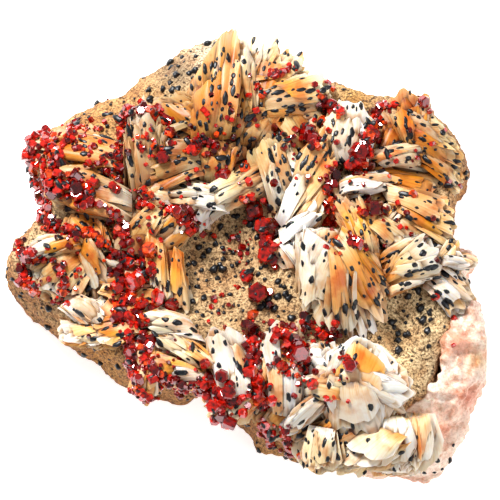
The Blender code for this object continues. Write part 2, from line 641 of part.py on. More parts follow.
def make_clusters(trees, cutters):
    made = []
    for name, crystals in CLUSTERS:
        cluster = make_cluster(name, crystals, trees)
        near = [copy_of(cutter) for cutter in cutters if close(cluster, cutter)]
        near += [grown_copy(other) for other in made if close(cluster, other)]
        combined(cluster, near, "DIFFERENCE")
        label = cluster.name
        for i, piece in enumerate(split(cluster, SMALLEST_CLUSTER)):
            piece.name = f"{label}_{i + 1}" if i else label
            made.append(piece)
    return made


def main():
    clear_scene()
    rock = chunk("matrix", ROCK_OUTLINE, rock_top)
    rock_cutter = grown_copy(rock)
    massive = chunk("massive_barite", MASSIVE_OUTLINE, massive_top)
    massive = split(combined(massive, [copy_of(rock_cutter)], "DIFFERENCE"))[0]
    massive.name = "massive_barite"
    massive_cutter = grown_copy(massive)
    crust = make_crust([copy_of(rock_cutter), copy_of(massive_cutter)])

    graph = bpy.context.evaluated_depsgraph_get()
    trees = [BVHTree.FromObject(thing, graph) for thing in (rock, massive, *crust)]
    cutters = [rock_cutter, massive_cutter, *make_fans(GAP), *crust]
    clusters = make_clusters(trees, cutters)
    for cutter in cutters[: -len(crust)]:
        bpy.data.objects.remove(cutter)

    finish([rock], material("matrix", MATRIX_LOOK))
    finish([massive], material("massive_barite", MASSIVE_LOOK))
    finish(crust, material("barite", BARITE_LOOK))
    finish(clusters, material("vanadinite", VANADINITE_LOOK))


def finish(things, look):
    for thing in things:
        thing.data.materials.clear()
        thing.data.materials.append(look)
        print(thing.name, len(thing.data.polygons))


main()
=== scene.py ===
"""Looks of the vanadinite on matrix: barite blades, red crystals, black spots and sandy rock."""

import math
import random

import bmesh
import bpy
import numpy as np
from mathutils import Matrix, Vector, noise
from mathutils.bvhtree import BVHTree


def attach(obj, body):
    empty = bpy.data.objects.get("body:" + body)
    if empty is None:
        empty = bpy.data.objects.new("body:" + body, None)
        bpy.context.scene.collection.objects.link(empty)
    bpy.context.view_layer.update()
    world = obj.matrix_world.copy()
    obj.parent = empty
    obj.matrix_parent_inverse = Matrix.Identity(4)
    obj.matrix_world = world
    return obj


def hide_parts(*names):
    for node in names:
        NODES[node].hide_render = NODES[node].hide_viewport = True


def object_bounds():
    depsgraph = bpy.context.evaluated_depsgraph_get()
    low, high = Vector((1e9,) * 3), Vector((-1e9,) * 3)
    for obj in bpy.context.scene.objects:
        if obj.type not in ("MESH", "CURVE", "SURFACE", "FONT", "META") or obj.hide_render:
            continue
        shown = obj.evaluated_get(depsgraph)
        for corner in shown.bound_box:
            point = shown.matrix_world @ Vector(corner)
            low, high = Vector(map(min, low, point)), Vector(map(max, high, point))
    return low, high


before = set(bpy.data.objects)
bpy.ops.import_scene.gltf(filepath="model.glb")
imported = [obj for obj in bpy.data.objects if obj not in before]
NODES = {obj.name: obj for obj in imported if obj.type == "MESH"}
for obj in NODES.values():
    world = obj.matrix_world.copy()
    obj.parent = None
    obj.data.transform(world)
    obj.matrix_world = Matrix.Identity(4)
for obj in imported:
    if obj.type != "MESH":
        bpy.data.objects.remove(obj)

CAD_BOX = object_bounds()

# Layout grid, the same as the part's: u to the right and v to the front in steps of the 500 x 500 view, as
# the piece looks from TILT above the front horizon. A point at the height LEVEL isn't shifted.
WIDTH = 0.090
MM = 0.001
GRID_STEPS = 484
STEP = WIDTH / GRID_STEPS
MIDDLE_U = 245.5
MIDDLE_V = 242.5
TILT = math.radians(74)
LEVEL = 20 * MM
SIGHT = Vector((0, math.cos(TILT), -math.sin(TILT)))
VIEW_MIDDLE = (250, 250)
VIEW_STEPS = 500
CAMERA_DISTANCE = 1.4
SENSOR_WIDTH = 36
WORLD_LIGHT = 0.26
LIGHTS = (  # name, place, side and power
    ("key", (-0.30, 0.40, 0.55), 0.20, 9.5),
    ("fill", (0.50, -0.30, 0.45), 0.5, 2.2),
)
FLOOR_REACH = 1.5
FLOOR_HEIGHT = -0.4 * MM

# The rock's upper surface, as in the part.
ROCK_TOP = 19.0 * MM
BACK_SLOPE_FROM = (52, 142)
BACK_SLOPE_TO = (212, 48)
BACK_SLOPE_FALL = 1.25
BACK_SLOPE_DEPTH = 9 * MM
HEIGHT_ROUNDS = 8
ROCK_SWELLS = (  # u, v, reach in grid steps, rise in mm
    (95, 170, 60, 3.0),
    (215, 105, 60, 3.5),
    (218, 265, 42, -5.5),
    (335, 255, 45, 2.5),
    (350, 385, 45, 2.0),
    (415, 335, 42, -3.0),
    (60, 300, 60, -3.5),
    (445, 165, 45, -3.0),
    (85, 218, 16, -3.5),
    (402, 172, 18, -3.5),
    (300, 460, 60, -6.0),
    (180, 400, 35, -3.0),
)

# Tones, as display colours from 0 to 255.
TONES = {
    "w": (254, 248, 240),  # white barite
    "c": (250, 230, 192),  # cream
    "g": (242, 166, 46),  # golden
    "t": (212, 164, 106),  # tan
    "s": (230, 221, 214),  # grey-white
    "o": (212, 134, 60),  # orange-brown
    "p": (196, 166, 150),  # pinkish grey
}

BLADE_TONES = "wcgggts"  # what the single blades' tones tend to
BLADE_SHADES = (0.74, 1.14)
OTHER_TONE_POWER = 2.5  # how rarely a blade is far from its fan's own tones
PALE_EDGE = np.array((0.97, 0.90, 0.78))
PALE_FROM = 0.8  # where a blade starts to get paler, as a share of its length
PALEST = 0.42
PALE_SIDES = 0.5  # how pale its long sides are, as a share of that

# Barite fans, mostly as in the part: name, root u, v and rise above the rock in mm, the outer edge's points
# in the same way, the tones at root, middle and edge, the width of the fan's sheets in mm, and how ragged
# their ends are, which is left out where it is PLAIN_RAGGEDNESS.
PLAIN_RAGGEDNESS = 0.05
FANS = (
    # left rim
    ("crust", (124, 166, 2.5), ((78, 132, 3), (46, 139, 3), (38, 154, 2), (50, 174, 1)), "wgo", 7, 0.04),
    ("left_rim", (132, 208, 3.0), ((74, 166, 4), (54, 182, 3), (56, 200, 2), (74, 211, 1)), "stg", 5),
    ("left_rim_foot", (112, 186, 2.0), ((62, 178, 3), (56, 192, 3), (62, 204, 2)), "ctw", 3),
    ("left_back", (132, 160, 1.5), ((84, 142, 3), (98, 136, 3), (116, 140, 3)), "cww", 6, 0.04),
    # cup above the middle left
    ("cup", (146, 196, 1.5), ((123, 150, 5), (131, 116, 6), (156, 116, 6), (168, 134, 5)), "psp", 5, 0.12),
    ("cup_right", (207, 156, 3.0), ((145, 138, 4), (140, 165, 4), (150, 198, 3)), "wsw", 2, 0.15),
    ("cup_foot", (176, 196, 2.0), ((140, 176, 3), (138, 192, 3), (146, 208, 3)), "swt", 3),
    # back
    ("ridge", (220, 140, 3.5),
     ((190, 92, 4), (200, 74, 6), (216, 54, 6), (233, 32, 6), (240, 52, 6), (246, 84, 5)), "cgg", 12, 0.02),
    ("ridge_end", (248, 112, 3.0),
     ((236, 38, 5), (246, 44, 6), (254, 60, 5), (258, 80, 4)), "cww", 9, 0.02),
    ("back_far", (252, 112, 2.0), ((262, 46, 4), (280, 51, 4), (298, 67, 4), (304, 88, 3)), "cgc", 6, 0.06),
    ("back_right", (258, 108, 2.5),
     ((288, 74, 4), (318, 76, 4), (328, 98, 4), (318, 120, 2)), "cgc", 6, 0.06),
    ("back_left", (218, 134, 2.5),
     ((158, 118, 3), (160, 104, 3), (182, 96, 4), (206, 100, 4)), "cgg", 5, 0.06),
    ("ridge_foot", (236, 142, 2.5), ((214, 104, 4), (232, 96, 5), (252, 104, 4)), "tcg", 3),
    ("ridge_right", (232, 128, 3.0), ((250, 94, 4), (266, 102, 4), (268, 122, 3)), "cgt", 4),
    # rosette behind the middle
    ("middle_left", (226, 200, 3.5), ((172, 180, 4), (167, 196, 4), (182, 214, 3)), "wwc", 3.5, 0.2),
    ("middle_right", (202, 204, 3.5), ((244, 164, 4), (264, 172, 5), (262, 194, 3)), "wct", 4, 0.16),
    ("middle_front", (206, 188, 3.5), ((180, 226, 2), (200, 232, 2), (216, 222, 2)), "wws", 4, 0.1),
    ("middle_back", (214, 182, 2.5), ((192, 146, 4), (212, 138, 4), (238, 146, 4)), "cgt", 4),
    # tall shells right of the middle
    ("shell", (291, 217, 2.5),
     ((257, 152, 6), (268, 140, 7), (284, 143, 7), (300, 162, 6)), "cwc", 6, 0.06),
    ("shell_golden", (284, 230, 2.5),
     ((300, 150, 7), (317, 142, 7), (331, 158, 6), (330, 188, 4)), "wcg", 7, 0.06),
    ("shell_blade", (280, 240, 3.5), ((316, 198, 5), (324, 211, 5), (321, 224, 4)), "www", 5),
    ("shell_cup", (314, 264, 3.0), ((279, 242, 4), (304, 228, 5), (338, 232, 5)), "sww", 5),
    ("shell_back", (310, 156, 2.0), ((268, 114, 4), (286, 107, 4), (306, 114, 3)), "cgt", 5),
    ("shell_foot", (288, 178, 2.5), ((256, 170, 3), (252, 186, 3), (262, 202, 3)), "tct", 3),
    # big white fan and its golden back
    ("white_fan", (328, 244, 6.0),
     ((299, 276, 4), (304, 302, 3), (322, 320, 3), (346, 331, 3), (367, 329, 3)), "wwc", 12, 0.16),
    ("white_fan_gold", (336, 242, 6.0), ((369, 322, 4), (382, 302, 5), (385, 280, 5)), "cgg", 6, 0.08),
    ("pointed_pair", (372, 252, 3.0),
     ((337, 207, 6), (347, 201, 6), (360, 206, 6), (376, 210, 5)), "cgg", 2.6, 0.25),
    # right
    ("right_low", (370, 220, 4.0), ((392, 254, 4), (406, 243, 4), (417, 233, 4)), "tcs", 4),
    ("right_lens", (340, 190, 5.0), ((382, 171, 6), (396, 181, 6), (384, 192, 5)), "sww", 6),
    ("right_arc", (385, 197, 3.0),
     ((415, 190, 5), (441, 199, 5), (452, 224, 4), (449, 247, 3)), "cgg", 7, 0.06),
    ("right_stack", (374, 160, 3.0), ((396, 143, 4), (424, 146, 5), (424, 164, 4)), "ssw", 3, 0.1),
    ("right_tip", (420, 152, 3.0), ((388, 106, 5), (407, 93, 6), (430, 101, 6), (434, 124, 4)), "cgo", 5),
    ("right_far", (412, 140, 4.0), ((434, 117, 5), (457, 148, 5), (459, 188, 3)), "tgc", 5),
    ("right_grey", (352, 166, 3.0), ((324, 120, 4), (340, 106, 5), (360, 111, 5), (379, 130, 4)), "ssw", 7),
    ("right_splinters", (378, 230, 2.0), ((384, 204, 4), (398, 200, 4), (410, 208, 4)), "wws", 2, 0.2),
    ("right_front", (385, 281, 3.0),
     ((402, 240, 4), (425, 238, 4), (438, 256, 4), (434, 277, 3), (412, 288, 2)), "gcw", 6, 0.12),
    # rosette at the front
    ("flower", (352, 390, 5.0), ((302, 399, 3), (304, 382, 4), (324, 364, 4)), "gcc", 9, 0.04),
    ("flower_back", (352, 390, 5.0),
     ((330, 354, 5), (355, 339, 6), (378, 349, 6), (398, 372, 6)), "gww", 18, 0.04),
    ("flower_right", (350, 380, 5.0), ((402, 376, 6), (408, 390, 5), (398, 410, 4)), "gww", 10, 0.04),
    ("flower_front", (352, 374, 5.0),
     ((388, 419, 5), (368, 431, 4), (344, 429, 3), (324, 412, 3)), "cww", 16, 0.04),
    ("flower_foot", (330, 390, 2.0), ((300, 366, 3), (312, 350, 3), (330, 346, 3)), "cww", 3),
    # front edge
    ("front_low", (398, 424, 2.0),
     ((342, 424, 3), (335, 444, 2), (350, 464, 2), (386, 467, 2)), "gcw", 14, 0.04),
    ("front_blades", (320, 426, 3.0), ((299, 460, 2), (320, 469, 2), (344, 467, 2)), "wcc", 8),
    ("front_lath", (320, 398, 4.0), ((284, 414, 3), (281, 427, 3), (298, 432, 2)), "www", 4),
    ("front_upright", (286, 416, 2.5),
     ((261, 342, 4), (275, 328, 5), (298, 334, 5), (304, 352, 3)), "swc", 6),
    ("front_grey", (243, 403, 2.0), ((204, 343, 4), (220, 334, 5), (238, 344, 4), (250, 346, 3)), "sws", 7),
    ("front_gold", (208, 377, 2.0), ((146, 350, 3), (150, 373, 3), (176, 387, 2)), "cgg", 5),
    ("front_cream", (212, 368, 3.0), ((160, 343, 4), (176, 334, 4), (202, 345, 3)), "sct", 2.5, 0.14),
    ("front_splinters", (250, 386, 1.5), ((206, 392, 3), (214, 414, 2), (240, 420, 2)), "tgc", 2),
    # front left
    ("left_front", (199, 332, 2.5), ((145, 308, 3), (141, 322, 3), (166, 339, 2)), "wwc", 6),
    ("recess_lath", (163, 238, 3.0), ((148, 276, 3), (168, 302, 3), (190, 306, 2)), "cgc", 3),
    ("recess_left", (192, 214, 2.5), ((150, 224, 4), (151, 246, 3), (172, 254, 2)), "tgt", 6),
    ("hollow_top", (161, 210, 3.0), ((116, 234, 4), (119, 250, 3), (142, 256, 2)), "cto", 4),
    ("hollow", (158, 282, 1.0), ((103, 258, 3), (98, 286, 3), (112, 312, 2)), "tog", 3),
    ("hollow_foot", (160, 300, 1.0), ((118, 300, 2), (122, 318, 2), (142, 330, 2)), "cgt", 3),
    ("left_blades", (84, 244, 2.5), ((34, 241, 4), (29, 256, 4), (48, 266, 2)), "tcw", 7),
    ("left_golden", (84, 257, 2.0),
     ((32, 263, 3), (40, 284, 3), (56, 300, 2), (78, 301, 2)), "ggc", 6, 0.06),
    ("left_crescent", (82, 243, 3.0), ((106, 258, 4), (108, 284, 3), (93, 299, 2)), "psp", 5),
    ("left_patch", (70, 299, 2.0), ((104, 307, 3), (106, 326, 3), (80, 324, 2)), "wss", 5),
    ("left_upper", (100, 252, 2.0), ((64, 222, 3), (84, 214, 2), (104, 222, 3)), "ctg", 4),
    ("left_gold_low", (138, 326, 2.0), ((95, 317, 3), (92, 332, 2), (110, 344, 2)), "cgg", 3),
    ("left_wall", (149, 360, 2.0), ((134, 390, 2), (148, 398, 2), (158, 391, 2)), "ggt", 2),
    ("left_wall_back", (150, 372, 1.5), ((124, 340, 2), (136, 334, 2), (152, 338, 2)), "cgt", 2),
    # right edge
    ("right_edge", (440, 262, 2.0), ((470, 255, 3), (476, 262, 3), (466, 270, 2)), "ssw", 4),
    ("right_nub", (440, 260, 2.0), ((448, 237, 3), (459, 242, 3), (458, 254, 2)), "ctg", 3),
)
# Lower spreads that fill the hollows between them, in the same way.
FILLING_FANS = (
    ("behind_shells", (262, 150, 2.0),
     ((240, 122, 3), (256, 108, 3), (276, 112, 3), (290, 126, 3)), "tcg", 5, 0.08),
    ("behind_rosette", (240, 160, 1.5), ((206, 140, 2), (216, 128, 2), (240, 130, 2)), "tpt", 4, 0.08),
    ("beside_rosette", (226, 176, 1.5), ((178, 150, 2), (176, 166, 2), (188, 178, 2)), "pst", 3, 0.1),
    ("below_back", (318, 150, 1.5), ((300, 112, 2), (320, 104, 2), (340, 116, 2)), "tcg", 4, 0.08),
    ("beside_cup", (128, 190, 1.0), ((98, 172, 2), (100, 160, 2), (112, 150, 2)), "tgt", 4, 0.08),
    ("below_left_rim", (140, 226, 1.0), ((92, 206, 2), (88, 220, 1), (104, 232, 1)), "tot", 4, 0.08),
    ("above_hollow", (128, 206, 1.5), ((108, 222, 2), (118, 244, 2), (140, 240, 2)), "sct", 4, 0.08),
    ("below_left", (120, 300, 1.0), ((84, 318, 2), (100, 338, 1), (128, 336, 1)), "wsc", 4, 0.1),
    ("left_low_white", (104, 330, 0.5), ((62, 326, 1), (66, 340, 0), (92, 348, 0)), "tcs", 4, 0.1),
    ("left_low_gold", (150, 330, 1.0), ((138, 356, 2), (152, 372, 1), (176, 366, 2)), "cgg", 3, 0.1),
    ("below_left_front", (206, 350, 1.5), ((158, 330, 2), (150, 342, 2), (160, 356, 2)), "cgt", 3, 0.1),
    ("front_low_left", (212, 356, 1.0), ((180, 386, 1), (200, 394, 1), (222, 384, 1)), "tgo", 3, 0.1),
    ("front_between", (262, 352, 1.0), ((236, 400, 2), (252, 412, 1), (268, 396, 2)), "scc", 4, 0.08),
    ("front_nest", (300, 400, 1.0), ((262, 420, 1), (276, 436, 0), (300, 440, 0)), "cgt", 4, 0.08),
    ("front_white", (322, 360, 1.0), ((296, 352, 2), (304, 342, 2), (324, 344, 2)), "www", 4, 0.1),
    ("front_corner", (362, 420, 1.0), ((300, 436, 1), (312, 462, 0), (346, 470, 0)), "wcc", 8),
    ("front_right_lobes", (392, 414, 2.0), ((372, 448, 2), (396, 466, 1), (418, 452, 1)), "cww", 8, 0.06),
    ("right_under_arc", (392, 216, 1.5), ((430, 224, 3), (440, 244, 2), (418, 256, 2)), "scc", 4, 0.08),
    ("right_under_stack", (384, 178, 1.0), ((408, 172, 2), (436, 176, 2), (430, 194, 2)), "tgt", 4, 0.08),
    ("right_back", (384, 170, 1.0), ((386, 118, 2), (400, 112, 3), (414, 120, 3)), "tog", 4, 0.08),
    ("right_middle", (352, 208, 1.5), ((366, 186, 2), (384, 188, 2), (386, 204, 2)), "sct", 3, 0.1),
    ("shell_side", (300, 214, 2.5), ((324, 168, 3), (338, 180, 3), (336, 204, 2)), "cgc", 4, 0.08),
    ("below_pair", (384, 268, 1.0), ((366, 240, 3), (378, 232, 3), (396, 244, 2)), "tgt", 3, 0.08),
    ("massive_top", (426, 272, 0.5), ((462, 276, 0), (470, 298, 0), (452, 318, 0)), "wws", 6, 0.08),
    ("massive_front", (414, 412, 0.5), ((398, 450, 1), (416, 466, 0), (436, 452, 0)), "www", 8, 0.1),
    ("massive_foot", (392, 430, 0.5), ((366, 462, 0), (388, 476, -1), (414, 472, -1)), "cww", 9, 0.06),
)
EDGE_SAMPLES = 24
ROOT_SPREAD = 0.26  # the root's half width, as a share of the edge's
ROOT_SHIFT = 0.22  # how far a blade's root is off its place, as a share of the root's width
SHINGLE = (0.02, 0.10)  # how far a fan's sheets rise to one side, as a share of their width
SHEET_LAYERS = (  # length as a share of the fan's, drop in mm, arch as a share of it, reach past its sides
    (1.16, 3.0, 0.05, 0.24),
    (1.10, 2.0, 0.06, 0.14),
    (1.09, 1.2, 0.08, 0.06),
    (1.05, 0.5, 0.11, 0.02),
    (0.85, 0.0, 0.13, 0.0),
)
SHEET_WIDTHS = (1.0, 1.9)  # as shares of the spacing
SHEET_LENGTHS = (0.90, 1.02)
SHEET_SHIFT = 0.3
NARROWEST_SHEET = 0.3
SHEET_ROWS = 6
SHEET_COLUMN = 0.45 * MM
MOST_COLUMNS = 18
SHEET_THICKNESS = 0.4 * MM
ROUNDNESS = 0.07  # how much shorter a sheet is at its sides
LOBE_ROUNDNESS = 0.30  # the same for a sheet as wide as its whole fan, which is a rounded lobe
SLANT = 0.07  # how much longer it can be on one side than in the middle
FINE_WEAR = 0.02  # how uneven its end is, over its raggedness
COARSE_WEAR = 0.12
BULGE = (0.0, 0.10)  # these two as shares of the sheet's width
TWIST = 0.06
CURL = (-0.06, 0.05)  # as a share of its length
RIDGE_HEIGHT = 0.1 * MM
SHARP_FROM = math.radians(55)
LATH_SPACING = 2.6 * MM
LATH_PLACES = (-0.05, 1.05)
LATH_LENGTHS = (0.6, 1.05)
LATH_DROPS = (0, 2.0)  # in mm
LATH_ARCHES = (0.05, 0.17)
LATH_WIDTHS = (0.7 * MM, 2.2 * MM)
LATH_THICKNESS = 0.28 * MM
LATH_TURN = 0.5
LATH_SKEW = 0.09
LATH_BEND = 0.05
SKEW_FROM = 0.8
LATH_STATIONS = (  # place along the lath, and width
    (0.0, 0.35),
    (0.22, 0.62),
    (0.45, 0.85),
    (0.66, 1.0),
    (0.84, 0.92),
    (1.0, 0.38),
)

# Painted shade: crevices are painted darker and browner, by how closed in they are.
SKY_REACH = 5 * MM
RAY_START = 0.05 * MM
RAY_ANGLES = ((8, 0), (38, 40), (38, 160), (38, 280), (62, 100), (62, 220), (62, 340))
SKY_RAYS = [(math.radians(slope), math.radians(turn)) for slope, turn in RAY_ANGLES]
PAINTED_CREVICE_SHADE = np.array((0.10, 0.035, 0.012))
PAINTED_SHADE_POWER = 1.5
OPEN_FROM = 0.08  # openness at which a crevice's painted shade is darkest
OPEN_AT = 0.56  # and at which it has no effect

# A darker, browner tint on the barite: its tint at full strength, and by region u, v, reach in grid steps
# and strength.
BROWN_TINT = np.array((0.52, 0.34, 0.13))
BROWNER_REGIONS = (
    (205, 128, 42, 0.75),
    (160, 155, 32, 0.65),
    (255, 115, 30, 0.30),
    (300, 120, 30, 0.30),
    (85, 175, 34, 0.45),
    (48, 165, 24, 0.5),
    (75, 260, 26, 0.30),
    (140, 240, 30, 0.30),
    (225, 75, 34, 0.28),
    (430, 150, 34, 0.30),
    (420, 205, 24, 0.15),
    (335, 265, 30, 0.15),
    (350, 385, 24, 0.12),
    (250, 160, 24, 0.20),
)

# Colours of the rock and the massive barite, on top and on the walls, and by region: u, v, reach in grid
# steps and display colour.
ROCK_TONE = (232, 202, 156)
WALL_TONE = (196, 138, 78)
MASSIVE_TONE = (254, 242, 230)
MASSIVE_WALL_TONE = (250, 228, 210)
MASSIVE_PATCHES = (
    (455, 338, 13, (244, 184, 156)),
    (466, 396, 16, (240, 186, 166)),
    (477, 360, 10, (236, 184, 118)),
    (436, 300, 20, (252, 248, 248)),
    (442, 425, 20, (248, 216, 198)),
)
PATCH_STRENGTH = 0.85
ROCK_VOXEL = 0.5 * MM
ROCK_SMOOTHINGS = 14
MASSIVE_SMOOTHINGS = 10
SMOOTHING = 0.6
ROCK_GROWTH = 0.1 * MM
MASSIVE_GROWTH = 0.3 * MM
ROCK_LUMPS = ((6 * MM, 1.1 * MM), (2 * MM, 0.5 * MM), (1.0 * MM, 0.42 * MM))  # size and depth
MASSIVE_LUMPS = ((5 * MM, 1.6 * MM), (1.6 * MM, 0.9 * MM), (0.8 * MM, 0.35 * MM))
FOOT = 0.4 * MM  # below this height the surface keeps its place
SEAM_FROM = 2.5 * MM  # the rock moves right up to massive barite this near, and not at all beyond SEAM_TO
SEAM_TO = 6.0 * MM
SEAM_OVERLAP = 1.1
ROCK_PATCHES = (
    (175, 72, 20, (128, 112, 92)),
    (130, 104, 34, (206, 154, 94)),
    (95, 126, 24, (214, 158, 82)),
    (212, 50, 20, (250, 240, 220)),
    (218, 270, 46, (206, 170, 124)),
    (270, 320, 34, (206, 170, 124)),
    (428, 360, 20, (160, 148, 126)),
    (415, 315, 34, (255, 230, 184)),
    (395, 350, 34, (255, 224, 172)),
    (356, 98, 20, (216, 164, 84)),
    (104, 356, 26, (206, 148, 70)),
    (280, 450, 40, (196, 142, 78)),
)

# Vanadinite seen one by one: u, v and width in grid steps.
CRYSTALS = (
    (33, 131, 14), (53, 135, 9), (45, 140, 8), (25, 156, 12), (30, 171, 9), (49, 183, 11), (61, 163, 11),
    (89, 163, 10), (34, 183, 8), (36, 194, 9), (47, 207, 9), (59, 192, 12), (76, 187, 14), (78, 195, 14),
    (75, 180, 8), (85, 205, 10), (127, 120, 10), (162, 157, 14), (171, 143, 7), (170, 131, 9),
    (175, 137, 8), (193, 150, 12), (209, 142, 8), (223, 175, 13), (245, 168, 12), (249, 182, 8),
    (274, 183, 8), (150, 195, 8), (150, 250, 15), (135, 281, 18), (157, 298, 20), (172, 305, 14),
    (205, 363, 11), (222, 375, 14), (208, 375, 9), (228, 392, 16), (213, 405, 14), (222, 415, 14),
    (230, 422, 12), (243, 412, 10), (248, 405, 8), (252, 329, 16), (253, 340, 10), (252, 350, 12),
    (250, 358, 10), (258, 360, 7), (250, 372, 14), (257, 380, 16), (258, 395, 14), (262, 405, 9),
    (272, 400, 10), (270, 385, 7), (263, 226, 19), (272, 228, 17), (263, 237, 8), (270, 240, 10),
    (266, 255, 18), (275, 266, 8), (242, 247, 7), (224, 252, 6), (214, 236, 5), (247, 276, 14),
    (257, 293, 21), (270, 292, 8), (270, 305, 8), (222, 295, 6), (225, 327, 5), (283, 325, 8),
    (292, 325, 7), (285, 335, 14), (298, 352, 18), (295, 338, 10), (303, 330, 9), (304, 315, 10),
    (313, 342, 8), (323, 335, 10), (333, 337, 10), (335, 323, 8), (282, 365, 10), (305, 370, 9),
    (312, 383, 12), (315, 371, 8), (349, 365, 14), (326, 397, 6), (294, 395, 7), (252, 197, 10),
    (255, 210, 18), (268, 203, 8), (245, 222, 6), (228, 118, 6), (233, 137, 8), (237, 155, 5),
    (256, 110, 8), (262, 95, 8), (257, 85, 6), (296, 67, 6), (328, 82, 8), (333, 88, 5), (315, 84, 7),
    (332, 105, 14), (338, 108, 8), (322, 120, 8), (307, 132, 16), (312, 147, 8), (329, 130, 6),
    (337, 142, 6), (275, 127, 8), (288, 140, 7), (284, 148, 7), (293, 145, 6), (334, 175, 13),
    (328, 187, 6), (325, 192, 6), (326, 205, 9), (330, 215, 14), (336, 222, 9), (337, 238, 6),
    (383, 107, 12), (395, 104, 8), (375, 116, 8), (383, 123, 9), (374, 133, 12), (362, 135, 8),
    (366, 149, 8), (358, 152, 16), (362, 170, 12), (350, 182, 5), (424, 101, 12), (444, 130, 8),
    (449, 183, 7), (461, 186, 6), (374, 208, 18), (364, 213, 9), (413, 194, 8), (433, 218, 6),
    (357, 243, 12), (350, 242, 8), (437, 260, 7), (435, 297, 7), (454, 318, 6), (453, 345, 4),
    (265, 425, 10), (268, 433, 10), (270, 441, 10), (285, 430, 9), (287, 443, 9), (290, 453, 12),
    (300, 455, 8), (89, 336, 5),
)

# Chains of small vanadinite: points along the chain, its half width, the number of crystals and their
# smallest and largest width in grid steps.
CHAINS = (
    (((45, 130), (33, 134), (28, 147), (28, 160), (33, 175), (37, 190), (47, 206)), 7, 74, (6, 12)),
    (((62, 140), (50, 155), (48, 172), (60, 188)), 9, 44, (5, 11)),
    (((40, 212), (52, 226), (66, 234), (80, 232)), 6, 34, (6, 11)),
    (((19, 247), (27, 256), (37, 262)), 5, 20, (6, 11)),
    (((21, 268), (27, 280), (35, 290)), 5, 18, (6, 10)),
    (((58, 266), (66, 288)), 4, 12, (6, 10)),
    (((50, 300), (68, 304)), 3, 7, (5, 8)),
    (((70, 122), (94, 132)), 5, 14, (4, 7)),
    (((68, 128), (78, 150)), 4, 10, (4, 8)),
    (((85, 232), (105, 246)), 5, 14, (6, 10)),
    (((74, 176), (90, 200), (84, 208)), 8, 26, (5, 10)),
    (((118, 188), (116, 165), (118, 140), (124, 118), (136, 107), (154, 111), (168, 122), (173, 136)),
     4, 62, (5, 11)),
    (((140, 190), (148, 207)), 5, 10, (5, 9)),
    (((168, 204), (184, 214), (195, 232)), 7, 26, (6, 11)),
    (((110, 212), (120, 228), (130, 252)), 6, 24, (5, 10)),
    (((112, 256), (130, 262), (150, 254)), 6, 18, (5, 11)),
    (((112, 272), (128, 282), (148, 272)), 8, 24, (5, 12)),
    (((114, 294), (130, 304), (146, 300)), 7, 20, (5, 11)),
    (((115, 312), (145, 318)), 6, 14, (5, 10)),
    (((127, 328), (132, 350), (134, 372), (138, 394)), 5, 38, (6, 11)),
    (((140, 326), (149, 346), (148, 372)), 5, 26, (6, 11)),
    (((154, 374), (172, 383), (196, 389)), 5, 26, (6, 11)),
    (((132, 390), (154, 402)), 4, 10, (6, 10)),
    (((200, 382), (234, 400)), 9, 30, (6, 11)),
    (((214, 398), (224, 420)), 7, 18, (7, 13)),
    (((252, 322), (250, 350), (256, 380), (262, 404)), 7, 36, (6, 12)),
    (((262, 218), (272, 236), (266, 262)), 7, 16, (6, 12)),
    (((246, 196), (258, 212)), 6, 12, (5, 10)),
    (((278, 330), (296, 342), (302, 358)), 8, 22, (5, 11)),
    (((300, 322), (338, 336)), 6, 20, (5, 9)),
    (((278, 360), (306, 376)), 7, 14, (5, 9)),
    (((270, 73), (290, 68)), 3, 9, (6, 9)),
    (((304, 126), (314, 148)), 6, 16, (6, 11)),
    (((322, 100), (336, 110)), 5, 12, (6, 11)),
    (((332, 164), (330, 190), (330, 224)), 5, 26, (5, 11)),
    (((386, 104), (376, 120), (370, 138), (360, 156), (362, 174)), 6, 44, (6, 13)),
    (((366, 205), (380, 210)), 6, 14, (6, 12)),
    (((350, 238), (362, 246)), 5, 8, (5, 9)),
    (((262, 420), (270, 444)), 4, 12, (6, 10)),
    (((284, 428), (292, 456)), 4, 9, (5, 9)),
    (((186, 140), (214, 146)), 6, 12, (5, 9)),
    (((94, 150), (112, 176)), 8, 10, (4, 7)),
    (((420, 98), (430, 106)), 3, 5, (5, 8)),
    (((340, 355), (356, 366)), 5, 7, (5, 8)),
    (((236, 236), (246, 262)), 7, 10, (4, 7)),
)

# Tiny crystals strewn over the blades: u, v and reach in grid steps, and their number.
SCATTERS = (
    (255, 112, 34, 16),
    (300, 150, 30, 14),
    (200, 160, 36, 22),
    (146, 148, 20, 26),
    (95, 120, 30, 8),
    (215, 110, 30, 10),
    (400, 150, 34, 14),
    (85, 165, 24, 12),
    (65, 275, 26, 14),
    (180, 365, 30, 14),
    (400, 225, 30, 10),
    (225, 285, 32, 12),
    (330, 250, 26, 8),
    (150, 225, 26, 12),
    (330, 385, 26, 8),
)
SCATTER_WIDTHS = (2.5, 6.0)
CHAIN_FILL = 2.4  # how many times a chain's number there really are, with its small ones
CHAIN_SPREAD = 0.75
SMALLEST_SHARE = 0.55  # the smallest width in a chain, as a share of the smallest one given
SMALL_POWER = 2.5  # how much commoner the small ones are

# A crystal past the edge looks inwards for something to sit on, in these steps and up to this far, and then
# stands out from it by this share of its width.
OVERHANG_STEP = 2
MOST_OVERHANG = 6
OVERHANG = 0.3
